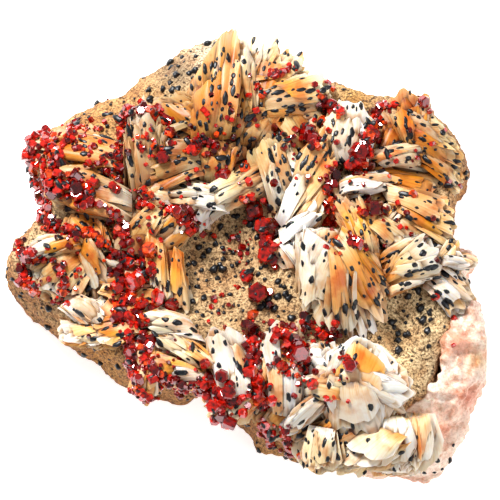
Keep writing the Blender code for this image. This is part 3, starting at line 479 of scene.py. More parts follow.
# Crystals whose end faces the viewer, and those that mirror the key light, by their u and v.
FACING = {
    (257, 293), (349, 365), (49, 183), (162, 157), (53, 135), (127, 120), (213, 405), (263, 237), (304, 315),
}
SHINING = {(78, 195), (350, 242), (383, 123), (275, 266), (270, 292), (33, 131)}
FACING_LEAN = 0.15
OUTWARD = 0.6  # how much a crystal leans away from what it sits on, and how much upwards
UPWARD = 0.4
CRYSTAL_LENGTHS = (0.45, 1.1)  # as shares of its width, as are the next two
CRYSTAL_RISE = 0.2
BEVEL = 0.09
CRYSTAL_TONES = ((202, 26, 7), (142, 8, 4), (236, 74, 18), (90, 3, 4))
CRYSTAL_SHARES = (0.42, 0.30, 0.13, 0.15)
CRYSTAL_SHADES = (0.75, 1.15)
# Painted shade on the crystals: the share of their red kept where they are most closed in towards the
# viewer, and how fast it comes back with openness.
CRYSTAL_DEEPEST_SHADE = 0.15
CRYSTAL_LIGHT = 1.5
CRYSTAL_SEED = 5

# Black spots: how thickly they lie by region, as u, v, reach in grid steps and share of the spots kept.
SPOT_SPACING = 7.6
SPOT_SIZES = (2.2, 6.2)  # smallest and largest, in grid steps
SPOT_POWER = 1.8  # how much commoner the small ones are
SPOT_BUMPS = 0.55
ROCK_SPOT = 1.3  # how much larger they are on the rock
ROCK_SPOT_LENGTHS = (0.95, 1.25)
ROCK_SPOT_FLATNESS = 0.85
BLADE_SPOT_LENGTHS = (1.1, 2.5)
BLADE_SPOT_FLATNESS = 0.4
SPOT_SEED = 9
SPOT_SHARE = 0.33
SPOT_REGIONS = (
    (218, 265, 36, 0.5),
    (195, 148, 45, 0.35),
    (235, 60, 30, 0.5),
    (275, 165, 30, 0.4),
    (310, 150, 24, 0.4),
    (415, 120, 24, 0.5),
    (440, 170, 24, 0.4),
    (415, 300, 30, 0.5),
    (430, 225, 24, 0.3),
    (300, 100, 30, 0.3),
    (90, 165, 30, 0.2),
    (290, 450, 30, 0.3),
    (330, 305, 22, -0.3),
    (385, 375, 30, -0.3),
    (190, 195, 24, -0.2),
    (450, 400, 40, -0.5),
    (380, 440, 45, -0.3),
    (462, 335, 34, -0.5),
    (50, 330, 40, -0.2),
)

BARITE_NODES = sorted(name for name in NODES if name.startswith("barite_"))
VANADINITE_NODES = sorted(name for name in NODES if name.startswith("vanadinite_"))


def linear(colour):
    """A display colour from 0 to 255 as the linear values that a shader takes."""
    share = np.asarray(colour, float) / 255
    return np.where(share <= 0.04045, share / 12.92, ((share + 0.055) / 1.055) ** 2.4)


def on_grid(u, v, height):
    """The point at this height that is seen at (u, v)."""
    up_the_grid = (MIDDLE_V - v) * STEP
    y = (up_the_grid - (height - LEVEL) * math.cos(TILT)) / math.sin(TILT)
    return Vector(((u - MIDDLE_U) * STEP, y, height))


def seen_at(point):
    """The (u, v) at which a point is seen."""
    up_the_grid = point[1] * math.sin(TILT) + (point[2] - LEVEL) * math.cos(TILT)
    return point[0] / STEP + MIDDLE_U, MIDDLE_V - up_the_grid / STEP


def rock_top(x, y):
    """The height of the rock's upper surface at a place."""
    u = x / STEP + MIDDLE_U
    v = MIDDLE_V - y / STEP
    along = np.subtract(BACK_SLOPE_TO, BACK_SLOPE_FROM)
    along = along / np.hypot(*along)
    beyond = (u - BACK_SLOPE_FROM[0]) * along[1] - (v - BACK_SLOPE_FROM[1]) * along[0]
    height = ROCK_TOP - min(BACK_SLOPE_FALL * STEP * max(beyond, 0), BACK_SLOPE_DEPTH)
    for middle_u, middle_v, reach, rise in ROCK_SWELLS:
        away = ((u - middle_u) ** 2 + (v - middle_v) ** 2) / reach**2
        height += rise * MM * math.exp(-away)
    return height


def above_rock(u, v, rise):
    """The point seen at (u, v) that stands this far above the rock's upper surface."""
    height = LEVEL
    for _ in range(HEIGHT_ROUNDS):
        spot = on_grid(u, v, height)
        height = rock_top(spot.x, spot.y) + rise
    return on_grid(u, v, height)


def swell_at(u, v, patches, start):
    """The sum of the patches' strengths at (u, v), each fading with the distance from its middle."""
    for middle_u, middle_v, reach, strength in patches:
        start += strength * math.exp(-((u - middle_u) ** 2 + (v - middle_v) ** 2) / reach**2)
    return start


# Meshes


class Pile:
    """Many small shapes gathered into one mesh, with a tone and a grain direction at each point."""

    def __init__(self):
        self.points = []
        self.faces = []
        self.runs = []
        self.tones = []
        self.grains = []

    def add(self, points, faces, run, tones, grains):
        first = len(self.points)
        self.points.extend(points)
        self.faces.extend(tuple(first + corner for corner in face) for face in faces)
        self.runs.extend([run] * len(faces))
        self.tones.extend(tones)
        self.grains.extend(grains)

    def tree(self):
        return BVHTree.FromPolygons(self.points, self.faces), self.runs

    def build(self, name, look, sharp_from=None):
        mesh = bpy.data.meshes.new(name)
        mesh.from_pydata([tuple(point) for point in self.points], [], self.faces)
        keep_inside(mesh)
        tones = mesh.color_attributes.new("tone", "FLOAT_COLOR", "POINT")
        tones.data.foreach_set("color", np.array([(*tone, 1) for tone in self.tones], np.float32).ravel())
        grains = mesh.attributes.new("grain", "FLOAT_VECTOR", "POINT")
        grains.data.foreach_set("vector", np.array(self.grains, np.float32).ravel())
        mesh.materials.append(look)
        if sharp_from is not None:
            mesh.shade_smooth()
            mesh.set_sharp_from_angle(angle=sharp_from)
        made = bpy.data.objects.new(name, mesh)
        bpy.context.scene.collection.objects.link(made)
        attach(made, "root")
        return made


def keep_inside(mesh):
    """Moves any point that lies outside the solids' box onto it."""
    points = np.empty(len(mesh.vertices) * 3, np.float32)
    mesh.vertices.foreach_get("co", points)
    points = np.clip(points.reshape(-1, 3), *CAD_BOX)
    mesh.vertices.foreach_set("co", points.ravel())


def line_through(points, count):
    """Evenly spaced points on the line through these points."""
    points = np.array(points, float)
    steps = np.linalg.norm(np.diff(points[:, :2], axis=0), axis=1)
    reached = np.concatenate(((0,), np.cumsum(steps)))
    wanted = np.linspace(0, reached[-1], count)
    return np.stack([np.interp(wanted, reached, column) for column in points.T], axis=1)


def blend(colours, share, side=0.0):
    """The tone at this share from root to edge, paler at the blade's thin end and sides."""
    root, middle, edge = colours
    if share < 0.5:
        tone = root * (1 - 2 * share) + middle * 2 * share
    else:
        tone = middle * (2 - 2 * share) + edge * (2 * share - 1)
    pale = PALEST * max(max(0, share - PALE_FROM) / (1 - PALE_FROM), PALE_SIDES * abs(side) ** 6)
    return tone * (1 - pale) + PALE_EDGE * pale


class Fan:
    """A spread of barite from a root to a curved outer edge; a share from 0 to 1 runs along the edge."""

    def __init__(self, name, root, tips, tone_letters, sheet_width, raggedness=PLAIN_RAGGEDNESS):
        self.dice = random.Random(name)
        self.colours = [linear(TONES[letter]) for letter in tone_letters]
        self.sheet_width = sheet_width * MM
        self.raggedness = raggedness
        self.shingle = self.dice.choice((-1, 1)) * self.dice.uniform(*SHINGLE)
        span = np.subtract(tips[-1][:2], tips[0][:2])
        self.edge = [above_rock(u, v, rise * MM) for u, v, rise in line_through(tips, EDGE_SAMPLES)]
        self.root = []
        for share in np.linspace(-1, 1, EDGE_SAMPLES):
            u, v = root[:2] + share * ROOT_SPREAD * span
            self.root.append(above_rock(u, v, root[2] * MM))
        self.edge_length = sum((b - a).length for a, b in zip(self.edge, self.edge[1:]))
        self.sheets = max(1, round(self.edge_length / self.sheet_width))
        self.roundness = LOBE_ROUNDNESS if self.sheets == 1 else ROUNDNESS

    def between(self, points, share):
        """The point at this share of the line, running on straight past its ends."""
        place = share * (EDGE_SAMPLES - 1)
        low = min(max(int(place), 0), EDGE_SAMPLES - 2)
        return points[low].lerp(points[low + 1], place - low)

    def ends(self, share, drop, shift=0.0):
        """Root and edge points, both this much lower but seen at the same place."""
        down = SIGHT * (drop / math.sin(TILT))
        return self.between(self.root, share + shift) + down, self.between(self.edge, share) + down

    def tones(self):
        """The fan's tones at root, middle and edge, for one of its blades."""
        shade = self.dice.uniform(*BLADE_SHADES)
        other, weight = self.dice.choice(BLADE_TONES), self.dice.random() ** OTHER_TONE_POWER
        return [shade * (tone * (1 - weight) + linear(TONES[other]) * weight) for tone in self.colours]


def sheet_faces(columns):
    """The faces of a closed sheet, whose upper points come first and then its lower ones, row by row."""
    wide = columns + 1
    under = wide * (SHEET_ROWS + 1)
    faces = []
    for row in range(SHEET_ROWS):
        for column in range(columns):
            a = row * wide + column
            faces.append((a, a + 1, a + wide + 1, a + wide))
            faces.append((under + a + wide, under + a + wide + 1, under + a + 1, under + a))
    rim = [row * wide for row in range(SHEET_ROWS + 1)]
    rim += [SHEET_ROWS * wide + column for column in range(1, wide)]
    rim += [row * wide + columns for row in range(SHEET_ROWS - 1, -1, -1)]
    rim += list(range(columns - 1, 0, -1))
    for a, b in zip(rim, rim[1:] + rim[:1]):
        faces.append((a, b, under + b, under + a))
    return faces


def sheet_thickness(share, side):
    """Thinner towards its end and its sides."""
    return SHEET_THICKNESS * (1.15 - share) * (1.1 - 0.7 * side**2)


def add_sheet(pile, fan, first, last, reach, drop, arch):
    """One broad barite sheet, between two shares of the fan's edge, with soft ridges along it."""
    dice = fan.dice
    shift = dice.gauss(0, ROOT_SHIFT)
    start, end = fan.ends((first + last) / 2, drop, shift)
    left, right = fan.ends(first, drop)[1], fan.ends(last, drop)[1]
    run, across = end - start, right - left
    length, width = run.length, across.length
    face = across.cross(run).normalized()
    if face.z < 0:
        face.negate()
    columns = min(max(round(width / SHEET_COLUMN), 3), MOST_COLUMNS)
    number = dice.uniform(0, 100)
    bulge = dice.uniform(*BULGE) * width
    twist = (fan.shingle + dice.uniform(-TWIST, TWIST)) * width
    curl = dice.uniform(*CURL) * length
    slant = dice.uniform(-SLANT, SLANT)
    colours = fan.tones()
    points, tones, grains = [], [], []
    for layer in (0, 1):
        for row in range(SHEET_ROWS + 1):
            share = row / SHEET_ROWS
            for column in range(columns + 1):
                side = 2 * column / columns - 1
                near, far = fan.ends(first + (last - first) * column / columns, drop, shift)
                worn = 1 - fan.roundness * abs(side) ** 3 + slant * side
                fine = abs(noise.noise(Vector((column * 0.9, number, 1))))
                coarse = noise.noise(Vector((column * 0.25, number, 5)))
                worn -= (FINE_WEAR + fan.raggedness) * fine
                worn -= (COARSE_WEAR + fan.raggedness) * coarse
                point = near.lerp(far, share * reach * worn)
                ridge = noise.noise(Vector((column * 0.8, number, share * 0.7)))
                lift = bulge * (1 - side**2) + twist * side + RIDGE_HEIGHT * ridge
                point += face * (lift * min(1, 2 * share) - layer * sheet_thickness(share, side))
                point.z += arch * length * math.sin(math.pi * share**0.8) + curl * share**3
                points.append(point)
                tones.append(blend(colours, min(1, share * reach), side))
                grains.append((share * length / MM, column * width / columns / MM, number))
    faces = sheet_faces(columns)
    if across.cross(run).z <= 0:
        faces = [corners[::-1] for corners in faces]
    pile.add(points, faces, run.normalized(), tones, grains)


def add_lath(pile, fan, share, reach, drop, arch, width):
    """One narrow barite blade, its tip cut off askew."""
    dice = fan.dice
    start, tip = fan.ends(share, drop, dice.gauss(0, ROOT_SHIFT))
    tip = start.lerp(tip, reach)
    run = tip - start
    length = run.length
    side = run.cross(Vector((0, 0, 1))).normalized()
    side.rotate(Matrix.Rotation(dice.gauss(0, LATH_TURN), 3, run.normalized()))
    face = side.cross(run).normalized()
    skew = dice.uniform(-LATH_SKEW, LATH_SKEW) * length
    bend = dice.uniform(-LATH_BEND, LATH_BEND) * length
    number = dice.uniform(0, 100)
    colours = fan.tones()
    points, tones, grains = [], [], []
    for station, broad in LATH_STATIONS:
        centre = start + run * station + side * (bend * math.sin(math.pi * station))
        centre.z += arch * length * math.sin(math.pi * station**0.8)
        thick = 0.5 * LATH_THICKNESS * (1.2 - 0.6 * station)
        slant = run.normalized() * (skew * max(0.0, station - SKEW_FROM) / (1 - SKEW_FROM))
        for across, up in ((-1, 1), (1, 1), (1, -1), (-1, -1)):
            point = centre + side * (0.5 * width * broad * across) + face * (thick * up) + slant * across
            points.append(point)
            tones.append(blend(colours, station))
            grains.append((station * length / MM, across * width / 2 / MM, number))
    faces = [(3, 2, 1, 0)]
    for low in range(0, 4 * len(LATH_STATIONS) - 4, 4):
        faces += [(low + i, low + (i + 1) % 4, low + 4 + (i + 1) % 4, low + 4 + i) for i in range(4)]
    last = 4 * len(LATH_STATIONS) - 4
    faces.append((last, last + 1, last + 2, last + 3))
    pile.add(points, faces, run.normalized(), tones, grains)


def add_fan(pile, fan):
    """Overlapping sheets in layers, with laths between and on top of them."""
    dice = fan.dice
    step = 1 / fan.sheets
    for reach, drop, arch, overhang in SHEET_LAYERS:
        for i in range(fan.sheets + 1):
            middle = (i + dice.uniform(-SHEET_SHIFT, SHEET_SHIFT)) * step
            half = 0.5 * step * dice.uniform(*SHEET_WIDTHS)
            first = max(middle - half, -overhang)
            last = min(middle + half, 1 + overhang)
            if last - first > NARROWEST_SHEET * step:
                add_sheet(pile, fan, first, last, reach * dice.uniform(*SHEET_LENGTHS), drop * MM, arch)
    for _ in range(round(fan.edge_length / LATH_SPACING)):
        drop = dice.uniform(*LATH_DROPS) * MM
        width = dice.uniform(*LATH_WIDTHS)
        share = dice.uniform(*LATH_PLACES)
        reach = dice.uniform(*LATH_LENGTHS)
        add_lath(pile, fan, share, reach, drop, dice.uniform(*LATH_ARCHES), width)


def corners_of(node):
    """A node's points, one to a row."""
    corners = np.empty(len(NODES[node].data.vertices) * 3)
    NODES[node].data.vertices.foreach_get("co", corners)
    return corners.reshape(-1, 3)


def nearest_node(point, corners_by_name):
    """The node with a corner nearest to this point, and how far that corner is."""
    found = [(np.linalg.norm(corners - np.array(point), axis=1).min(), name)
             for name, corners in corners_by_name.items()]
    return min(found)


def make_barite_piles():
    """The blades of each barite node: every fan goes to the node nearest to its edge's first point."""
    corners = {name: corners_of(name) for name in BARITE_NODES}
    piles = {name: Pile() for name in BARITE_NODES}
    for row in FANS + FILLING_FANS:
        fan = Fan(*row)
        owner = nearest_node(fan.edge[0], corners)[1]
        add_fan(piles[owner], fan)
    return piles


def remeshed(node, name, voxel, smoothings):
    """A fine even mesh of a node's own shape, with its facets smoothed away."""
    made = bpy.data.objects.new(name, NODES[node].data.copy())
    bpy.context.scene.collection.objects.link(made)
    remesh = made.modifiers.new("remesh", "REMESH")
    remesh.mode = "VOXEL"
    remesh.voxel_size = voxel
    smooth = made.modifiers.new("smooth", "SMOOTH")
    smooth.iterations = smoothings
    smooth.factor = SMOOTHING
    graph = bpy.context.evaluated_depsgraph_get()
    mesh = bpy.data.meshes.new_from_object(made.evaluated_get(graph))
    made.modifiers.clear()
    made.data = mesh
    mesh.materials.clear()
    mesh.shade_smooth()
    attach(made, "root")
    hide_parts(node)
    return made


def roughen(made, grow, lumps):
    """Moves each point outward by grow and by several sizes of noise: (size, depth) in metres each."""
    normals = [point.normal.copy() for point in made.data.vertices]
    for point, normal in zip(made.data.vertices, normals):
        move = grow + sum(depth * noise.noise(point.co / size) for size, depth in lumps)
        if point.co.z > FOOT:
            point.co += normal * move
        point.co.z = max(point.co.z, 0)
    keep_inside(made.data)


def close_seam(made, tree):
    """Moves the points near a neighbour sideways up to it."""
    for point in made.data.vertices:
        nearest = tree.find_nearest(point.co, SEAM_TO)
        if nearest[0] is None:
            continue
        share = min(1, max(0, (SEAM_TO - nearest[3]) / (SEAM_TO - SEAM_FROM)))
        way = nearest[0] - point.co
        point.co.x += way.x * SEAM_OVERLAP * share
        point.co.y += way.y * SEAM_OVERLAP * share


def openness(point, normal, trees):
    """How open the sky is above a point, from 0 in a crevice to 1."""
    side = normal.orthogonal().normalized()
    other = normal.cross(side)
    start = point + normal * RAY_START
    blocked = 0
    for slope, turn in SKY_RAYS:
        ray = normal * math.cos(slope) + (side * math.cos(turn) + other * math.sin(turn)) * math.sin(slope)
        nearest = min((tree.ray_cast(start, ray, SKY_REACH)[3] or SKY_REACH) for tree in trees)
        blocked += 1 - nearest / SKY_REACH
    return 1 - blocked / len(SKY_RAYS)


def with_painted_shade(tone, light):
    """The tone with painted shade, as it is deep in a crevice, where light is 0, or out in the open, where
    it is 1.
    """
    share = min(1, max(0, (light - OPEN_FROM) / (OPEN_AT - OPEN_FROM)))
    return np.asarray(tone) * PAINTED_CREVICE_SHADE ** ((1 - share) ** PAINTED_SHADE_POWER)


def tint_and_shade_pile(pile, trees):
    """Darkens each shape of the pile by region, and with painted shade by how closed in it is, point by
    point.
    """
    normals = [Vector((0, 0, 0)) for _ in pile.points]
    for face in pile.faces:
        a, b, c = (pile.points[corner] for corner in face[:3])
        normal = (b - a).cross(c - b)
        for corner in face:
            normals[corner] += normal
    for i, (point, normal) in enumerate(zip(pile.points, normals)):
        # Darker and browner by region.
        tone = pile.tones[i] * BROWN_TINT ** swell_at(*seen_at(point), BROWNER_REGIONS, 0.0)
        if normal.length > 0:
            # Painted shade: darker and browner where the point is closed in.
            tone = with_painted_shade(tone, openness(point, normal.normalized(), trees))
        pile.tones[i] = tone


def paint(made, trees, top_tone, wall_tone, patches):
    """Stores a tone at each point, from its place and slope, with painted shade by how closed in it is."""
    base, wall = linear(top_tone), linear(wall_tone)
    patches = [(u, v, reach, linear(colour)) for u, v, reach, colour in patches]
    values = []
    for point in made.data.vertices:
        u, v = seen_at(point.co)
        steep = min(1.0, max(0.0, 1.2 - 1.3 * point.normal.z))
        tone = base * (1 - steep) + wall * steep
        for middle_u, middle_v, reach, colour in patches:
            away = ((u - middle_u) ** 2 + (v - middle_v) ** 2) / reach**2
            share = PATCH_STRENGTH * math.exp(-away)
            tone = tone * (1 - share) + colour * share
        # Painted shade from how closed in the point is.
        values.append((*with_painted_shade(tone, openness(point.co, point.normal, trees)), 1))
    tones = made.data.color_attributes.new("tone", "FLOAT_COLOR", "POINT")
    tones.data.foreach_set("color", np.array(values, np.float32).ravel())


def add_crystal(pile, middle, axis, turn, width, length, tone):
    """A hexagonal prism with narrow bevels at both ends."""
    bevel = BEVEL * width
    place = Matrix.Translation(middle) @ Vector((0, 0, 1)).rotation_difference(axis).to_matrix().to_4x4()
    points = []
    rings = ((0.5 - BEVEL, -0.5, 0), (0.5, -0.5, bevel), (0.5, 0.5, -bevel), (0.5 - BEVEL, 0.5, 0))
    for radius, height, inward in rings:
        for side in range(6):
            angle = turn + side * math.pi / 3
            x = math.cos(angle) * radius * width
            y = math.sin(angle) * radius * width
            points.append(place @ Vector((x, y, height * length + inward)))
    faces = [tuple(range(5, -1, -1)), tuple(range(18, 24))]
    for low in (0, 6, 12):
        faces += [(low + i, low + (i + 1) % 6, low + 6 + (i + 1) % 6, low + 6 + i) for i in range(6)]
    pile.add(points, faces, axis, [tone] * 24, [(0, 0, turn)] * 24)


def first_hit(trees, u, v):
    """Where the line of sight through (u, v) first meets the trees, as (point, normal, grain direction)."""
    start = on_grid(u, v, LEVEL) - SIGHT
    best = None
    for tree, runs in trees:
        place, normal, index, distance = tree.ray_cast(start, SIGHT)
        if place is not None and (best is None or distance < best[0]):
            if normal.dot(SIGHT) > 0:
                normal = -normal
            best = (distance, place, normal, runs[index] if runs else None)
    return best and best[1:]


def crystal_tone(dice):
    """One of the reds, lighter or darker."""
    tone = dice.choices(CRYSTAL_TONES, CRYSTAL_SHARES)[0]
    return linear(tone) * dice.uniform(*CRYSTAL_SHADES)


def crystal_axis(u, v, normal, dice):
    """Outward from what it sits on, more or less; a few face the viewer, or mirror the key light to them."""
    lean = Vector((dice.uniform(-1, 1), dice.uniform(-1, 1), dice.uniform(-1, 1)))
    if (u, v) in FACING:
        return (lean * FACING_LEAN - SIGHT).normalized()
    if (u, v) in SHINING:
        return (Vector(LIGHTS[0][1]).normalized() - SIGHT).normalized()
    return (normal * OUTWARD + Vector((0, 0, UPWARD)) + lean).normalized()


def grow_crystal(piles, corners, trees, u, v, width, dice):
    """Adds the crystal seen at (u, v) to the pile of the nearest cluster, its red darkened with painted
    shade by how closed in it is.
    """
    inwards = np.subtract(VIEW_MIDDLE, (u, v)) / np.hypot(*np.subtract(VIEW_MIDDLE, (u, v)))
    moved = 0
    hit = first_hit(trees, u, v)
    while hit is None and moved < MOST_OVERHANG:
        moved += OVERHANG_STEP
        hit = first_hit(trees, *(inwards * moved + (u, v)))
    if hit is None:
        return
    place, normal, _ = hit
    place = on_grid(*(inwards * max(0, moved - OVERHANG * width) + (u, v)), place.z)
    size = width * STEP
    axis = crystal_axis(u, v, normal, dice)
    length = size * dice.uniform(*CRYSTAL_LENGTHS)
    middle = place - SIGHT * (CRYSTAL_RISE * size)
    owner = nearest_node(middle, corners)[1]
    # Painted shade: the red is darker the more closed in the crystal is towards the viewer.
    light = openness(middle, -SIGHT, [tree for tree, _ in trees])
    tone = crystal_tone(dice) * (CRYSTAL_DEEPEST_SHADE + (1 - CRYSTAL_DEEPEST_SHADE) * min(1, CRYSTAL_LIGHT * light))
    add_crystal(piles[owner], middle, axis, dice.uniform(0, 1), size, length, tone)


def make_crystal_piles(trees):
    """The crystals of each cluster, with the small ones of the chains and those strewn between."""
    dice = random.Random(CRYSTAL_SEED)
    corners = {name: corners_of(name) for name in VANADINITE_NODES}
    piles = {name: Pile() for name in VANADINITE_NODES}
    for u, v, width in CRYSTALS:
        grow_crystal(piles, corners, trees, u, v, width, dice)
    for points, half_width, count, sizes in CHAINS:
        count = round(count * CHAIN_FILL)
        for u, v in line_through(points, count):
            u += half_width * dice.gauss(0, CHAIN_SPREAD)
            v += half_width * dice.gauss(0, CHAIN_SPREAD)
            smallest = sizes[0] * SMALLEST_SHARE
            width = smallest + (sizes[1] - smallest) * dice.random() ** SMALL_POWER
            grow_crystal(piles, corners, trees, u, v, width, dice)
    for u, v, reach, count in SCATTERS:
        for _ in range(count):
            place = (dice.gauss(u, reach / 2), dice.gauss(v, reach / 2))
            grow_crystal(piles, corners, trees, *place, dice.uniform(*SCATTER_WIDTHS), dice)
    return piles


def ball_corners():
    """Corners and faces of a coarse ball of diameter 1."""
    ball = bmesh.new()
    bmesh.ops.create_icosphere(ball, subdivisions=2, radius=0.5)
    corners = [corner.co.copy() for corner in ball.verts]
    faces = [tuple(corner.index for corner in face.verts) for face in ball.faces]
    ball.free()
    return corners, faces


def add_spot(pile, ball, place, normal, run, size, dice):
    """A small black lens, lying along the grain of a blade, or a ball on the rock."""
    corners, faces = ball
    if run is None:
        run = normal.orthogonal()
        stretch, flat = dice.uniform(*ROCK_SPOT_LENGTHS), ROCK_SPOT_FLATNESS
        size *= ROCK_SPOT
    else:
        stretch, flat = dice.uniform(*BLADE_SPOT_LENGTHS), BLADE_SPOT_FLATNESS
    along = (run - normal * run.dot(normal)).normalized()
    across = normal.cross(along)
    points = []
    for corner in corners:
        bump = 1 + SPOT_BUMPS * noise.noise(corner * 2.5 + place * 900)
        spot = along * (corner.x * stretch) + across * corner.y + normal * (corner.z * flat)
        points.append(place + spot * (size * bump))
    tone = np.full(3, 1.0)
    pile.add(points, faces, along, [tone] * len(points), [(0, 0, 0)] * len(points))


def make_spots(trees):
    """Spots strewn over all that the viewer sees."""
    dice = random.Random(SPOT_SEED)
    ball = ball_corners()
    pile = Pile()
    rows = int(VIEW_STEPS / SPOT_SPACING)
    for row in range(rows):
        for column in range(rows):
            u = (column + dice.uniform(0, 1)) * SPOT_SPACING
            v = (row + dice.uniform(0, 1)) * SPOT_SPACING
            keep = dice.random() < swell_at(u, v, SPOT_REGIONS, SPOT_SHARE)
            size = (SPOT_SIZES[0] + (SPOT_SIZES[1] - SPOT_SIZES[0]) * dice.random() ** SPOT_POWER) * STEP
            hit = first_hit(trees, u, v)
            if keep and hit:
                add_spot(pile, ball, hit[0], hit[1], hit[2], size, dice)
    return pile


# Materials


class Look:
    """A material's node tree, with its Principled shader."""

    def __init__(self, name):
        self.material = bpy.data.materials.new(name)
        self.material.use_nodes = True
        self.tree = self.material.node_tree
        self.shader = self.tree.nodes["Principled BSDF"]

    def node(self, kind, **settings):
        made = self.tree.nodes.new(kind)
        for name, value in settings.items():
            setattr(made, name, value)
        return made

    def join(self, output, target):
        self.tree.links.new(output, target)

    def set(self, **values):
        for name, value in values.items():
            self.shader.inputs[name.replace("_", " ")].default_value = value

    def waxy(self, weight, depth, reds):
        """Light that spreads this far under the surface."""
        self.set(Subsurface_Weight=weight, Subsurface_Scale=depth, Subsurface_Radius=reds)

    def noise(self, vector, scale, detail=3.0, roughness=0.55):
        made = self.node("ShaderNodeTexNoise")
        made.inputs["Scale"].default_value = scale
        made.inputs["Detail"].default_value = detail
        made.inputs["Roughness"].default_value = roughness
        self.join(vector, made.inputs["Vector"])
        return made.outputs["Fac"]

    def cells(self, vector, scale):
        """Distance from the middle of the cell that a point lies in, and the cell's random colour."""
        made = self.node("ShaderNodeTexVoronoi")
        made.inputs["Scale"].default_value = scale
        self.join(vector, made.inputs["Vector"])
        return made.outputs["Distance"], made.outputs["Color"]

    def ramp(self, value, *stops):
        made = self.node("ShaderNodeValToRGB")
        elements = made.color_ramp.elements
        while len(elements) < len(stops):
            elements.new(0.5)
        for element, (position, colour) in zip(elements, stops):
            element.position = position
            element.color = (*colour, 1)
        self.join(value, made.inputs["Fac"])
        return made.outputs["Color"]

    def mix(self, kind, factor, first, second):
        made = self.node("ShaderNodeMix", data_type="RGBA", blend_type=kind)
        if isinstance(factor, float):
            made.inputs["Factor"].default_value = factor
        else:
            self.join(factor, made.inputs["Factor"])
        self.join(first, made.inputs[6])
        self.join(second, made.inputs[7])
        return made.outputs[2]

    def less_on_white(self, colour, share, rest):
        """A factor that falls from share to rest as a colour's blue rises to that of white barite."""
        parts = self.node("ShaderNodeSeparateColor")
        self.join(colour, parts.inputs["Color"])
        made = self.node("ShaderNodeMapRange")
        made.inputs["From Min"].default_value = 0.35
        made.inputs["From Max"].default_value = 0.80
        made.inputs["To Min"].default_value = share
        made.inputs["To Max"].default_value = rest
        self.join(parts.outputs["Blue"], made.inputs["Value"])
        return made.outputs["Result"]

    def bump(self, height, strength, distance):
        made = self.node("ShaderNodeBump")
        made.inputs["Strength"].default_value = strength
        made.inputs["Distance"].default_value = distance
        self.join(height, made.inputs["Height"])
        self.join(made.outputs["Normal"], self.shader.inputs["Normal"])

    def attribute(self, name):
        return self.node("ShaderNodeAttribute", attribute_name=name).outputs

    def place(self):
        return self.node("ShaderNodeTexCoord").outputs["Object"]

    def colour(self, output):
        self.join(output, self.shader.inputs["Base Color"])


def grey(value):
    return (value, value, value)


def barite_look():
    look = Look("barite_blades")
    stretch = look.node("ShaderNodeMapping")
    stretch.inputs["Scale"].default_value = (0.10, 1.5, 1.0)
    look.join(look.attribute("grain")["Vector"], stretch.inputs["Vector"])
    streaks = look.noise(stretch.outputs["Vector"], 1.5, 4)
    stripe = look.ramp(streaks, (0.28, (0.66, 0.42, 0.20)), (0.41, (0.96, 0.84, 0.64)), (0.51, grey(1.0)))
    bare = look.attribute("tone")["Color"]
    tone = look.mix("MULTIPLY", look.less_on_white(bare, 0.85, 0.35), bare, stripe)
    stain = look.ramp(look.noise(look.place(), 260, 3), (0.34, (0.74, 0.36, 0.12)), (0.50, grey(1.0)))
    tone = look.mix("MULTIPLY", look.less_on_white(bare, 0.8, 0.25), tone, stain)
    gold = look.ramp(look.noise(look.place(), 90, 4), (0.42, (1.0, 0.66, 0.30)), (0.56, grey(1.0)))
    look.colour(look.mix("MULTIPLY", look.less_on_white(bare, 0.7, 0.12), tone, gold))
    look.set(Roughness=0.42)
    look.waxy(0.3, 0.7 * MM, (1.0, 0.6, 0.3))
    look.bump(streaks, 0.5, 0.14 * MM)
    return look.material


def rock_look():
    look = Look("granular_rock")
    place = look.place()
    grains = look.ramp(
        look.noise(place, 2300, 3, 0.7),
        (0.38, (0.22, 0.14, 0.08)),
        (0.50, (0.86, 0.80, 0.70)),
        (0.64, grey(1.2)),
    )
    tone = look.mix("MULTIPLY", 0.9, look.attribute("tone")["Color"], grains)
    specks = look.ramp(look.noise(place, 1300, 3, 0.65), (0.38, (0.10, 0.065, 0.04)), (0.45, grey(1.0)))
    tone = look.mix("MULTIPLY", 0.9, tone, specks)
    blotches = look.ramp(look.noise(place, 260, 4), (0.34, (0.66, 0.46, 0.30)), (0.56, grey(1.05)))
    look.colour(look.mix("MULTIPLY", 0.7, tone, blotches))
    look.set(Roughness=0.85)
    look.bump(grains, 0.6, 0.25 * MM)
    return look.material


def massive_look():
    look = Look("massive_barite")
    place = look.place()
    bands = look.ramp(
        look.noise(place, 160, 4),
        (0.36, linear((230, 156, 116))),
        (0.46, linear((247, 216, 196))),
        (0.54, linear((254, 246, 240))),
    )
    stains = look.ramp(look.noise(place, 420, 4, 0.7), (0.36, (0.66, 0.36, 0.20)), (0.50, grey(1.0)))
    tone = look.mix("MULTIPLY", 0.6, look.attribute("tone")["Color"], bands)
    sugar = look.ramp(look.noise(place, 1700, 3, 0.7), (0.36, (0.74, 0.62, 0.55)), (0.56, grey(1.06)))
    tone = look.mix("MULTIPLY", 0.8, tone, sugar)
    look.colour(look.mix("MULTIPLY", 0.7, tone, stains))
    look.set(Roughness=0.4)
    look.waxy(0.3, 1.0 * MM, (1.0, 0.5, 0.35))
    plates, _ = look.cells(place, 650)
    look.bump(plates, 0.7, 0.5 * MM)
    return look.material


def vanadinite_look():
    look = Look("vanadinite")
    # Painted light and painted shade: noise patches lighten the reds above their tone as painted inner glow
    # and darken them elsewhere.
    shade = look.ramp(look.noise(look.place(), 1100, 2), (0.34, grey(0.22)), (0.62, grey(1.25)))
    look.colour(look.mix("MULTIPLY", 1.0, look.attribute("tone")["Color"], shade))
    look.set(Roughness=0.11, IOR=2.1, Specular_Tint=(1.0, 0.66, 0.68, 1.0))
    look.waxy(0.25, 0.5 * MM, (1.0, 0.12, 0.05))
    return look.material


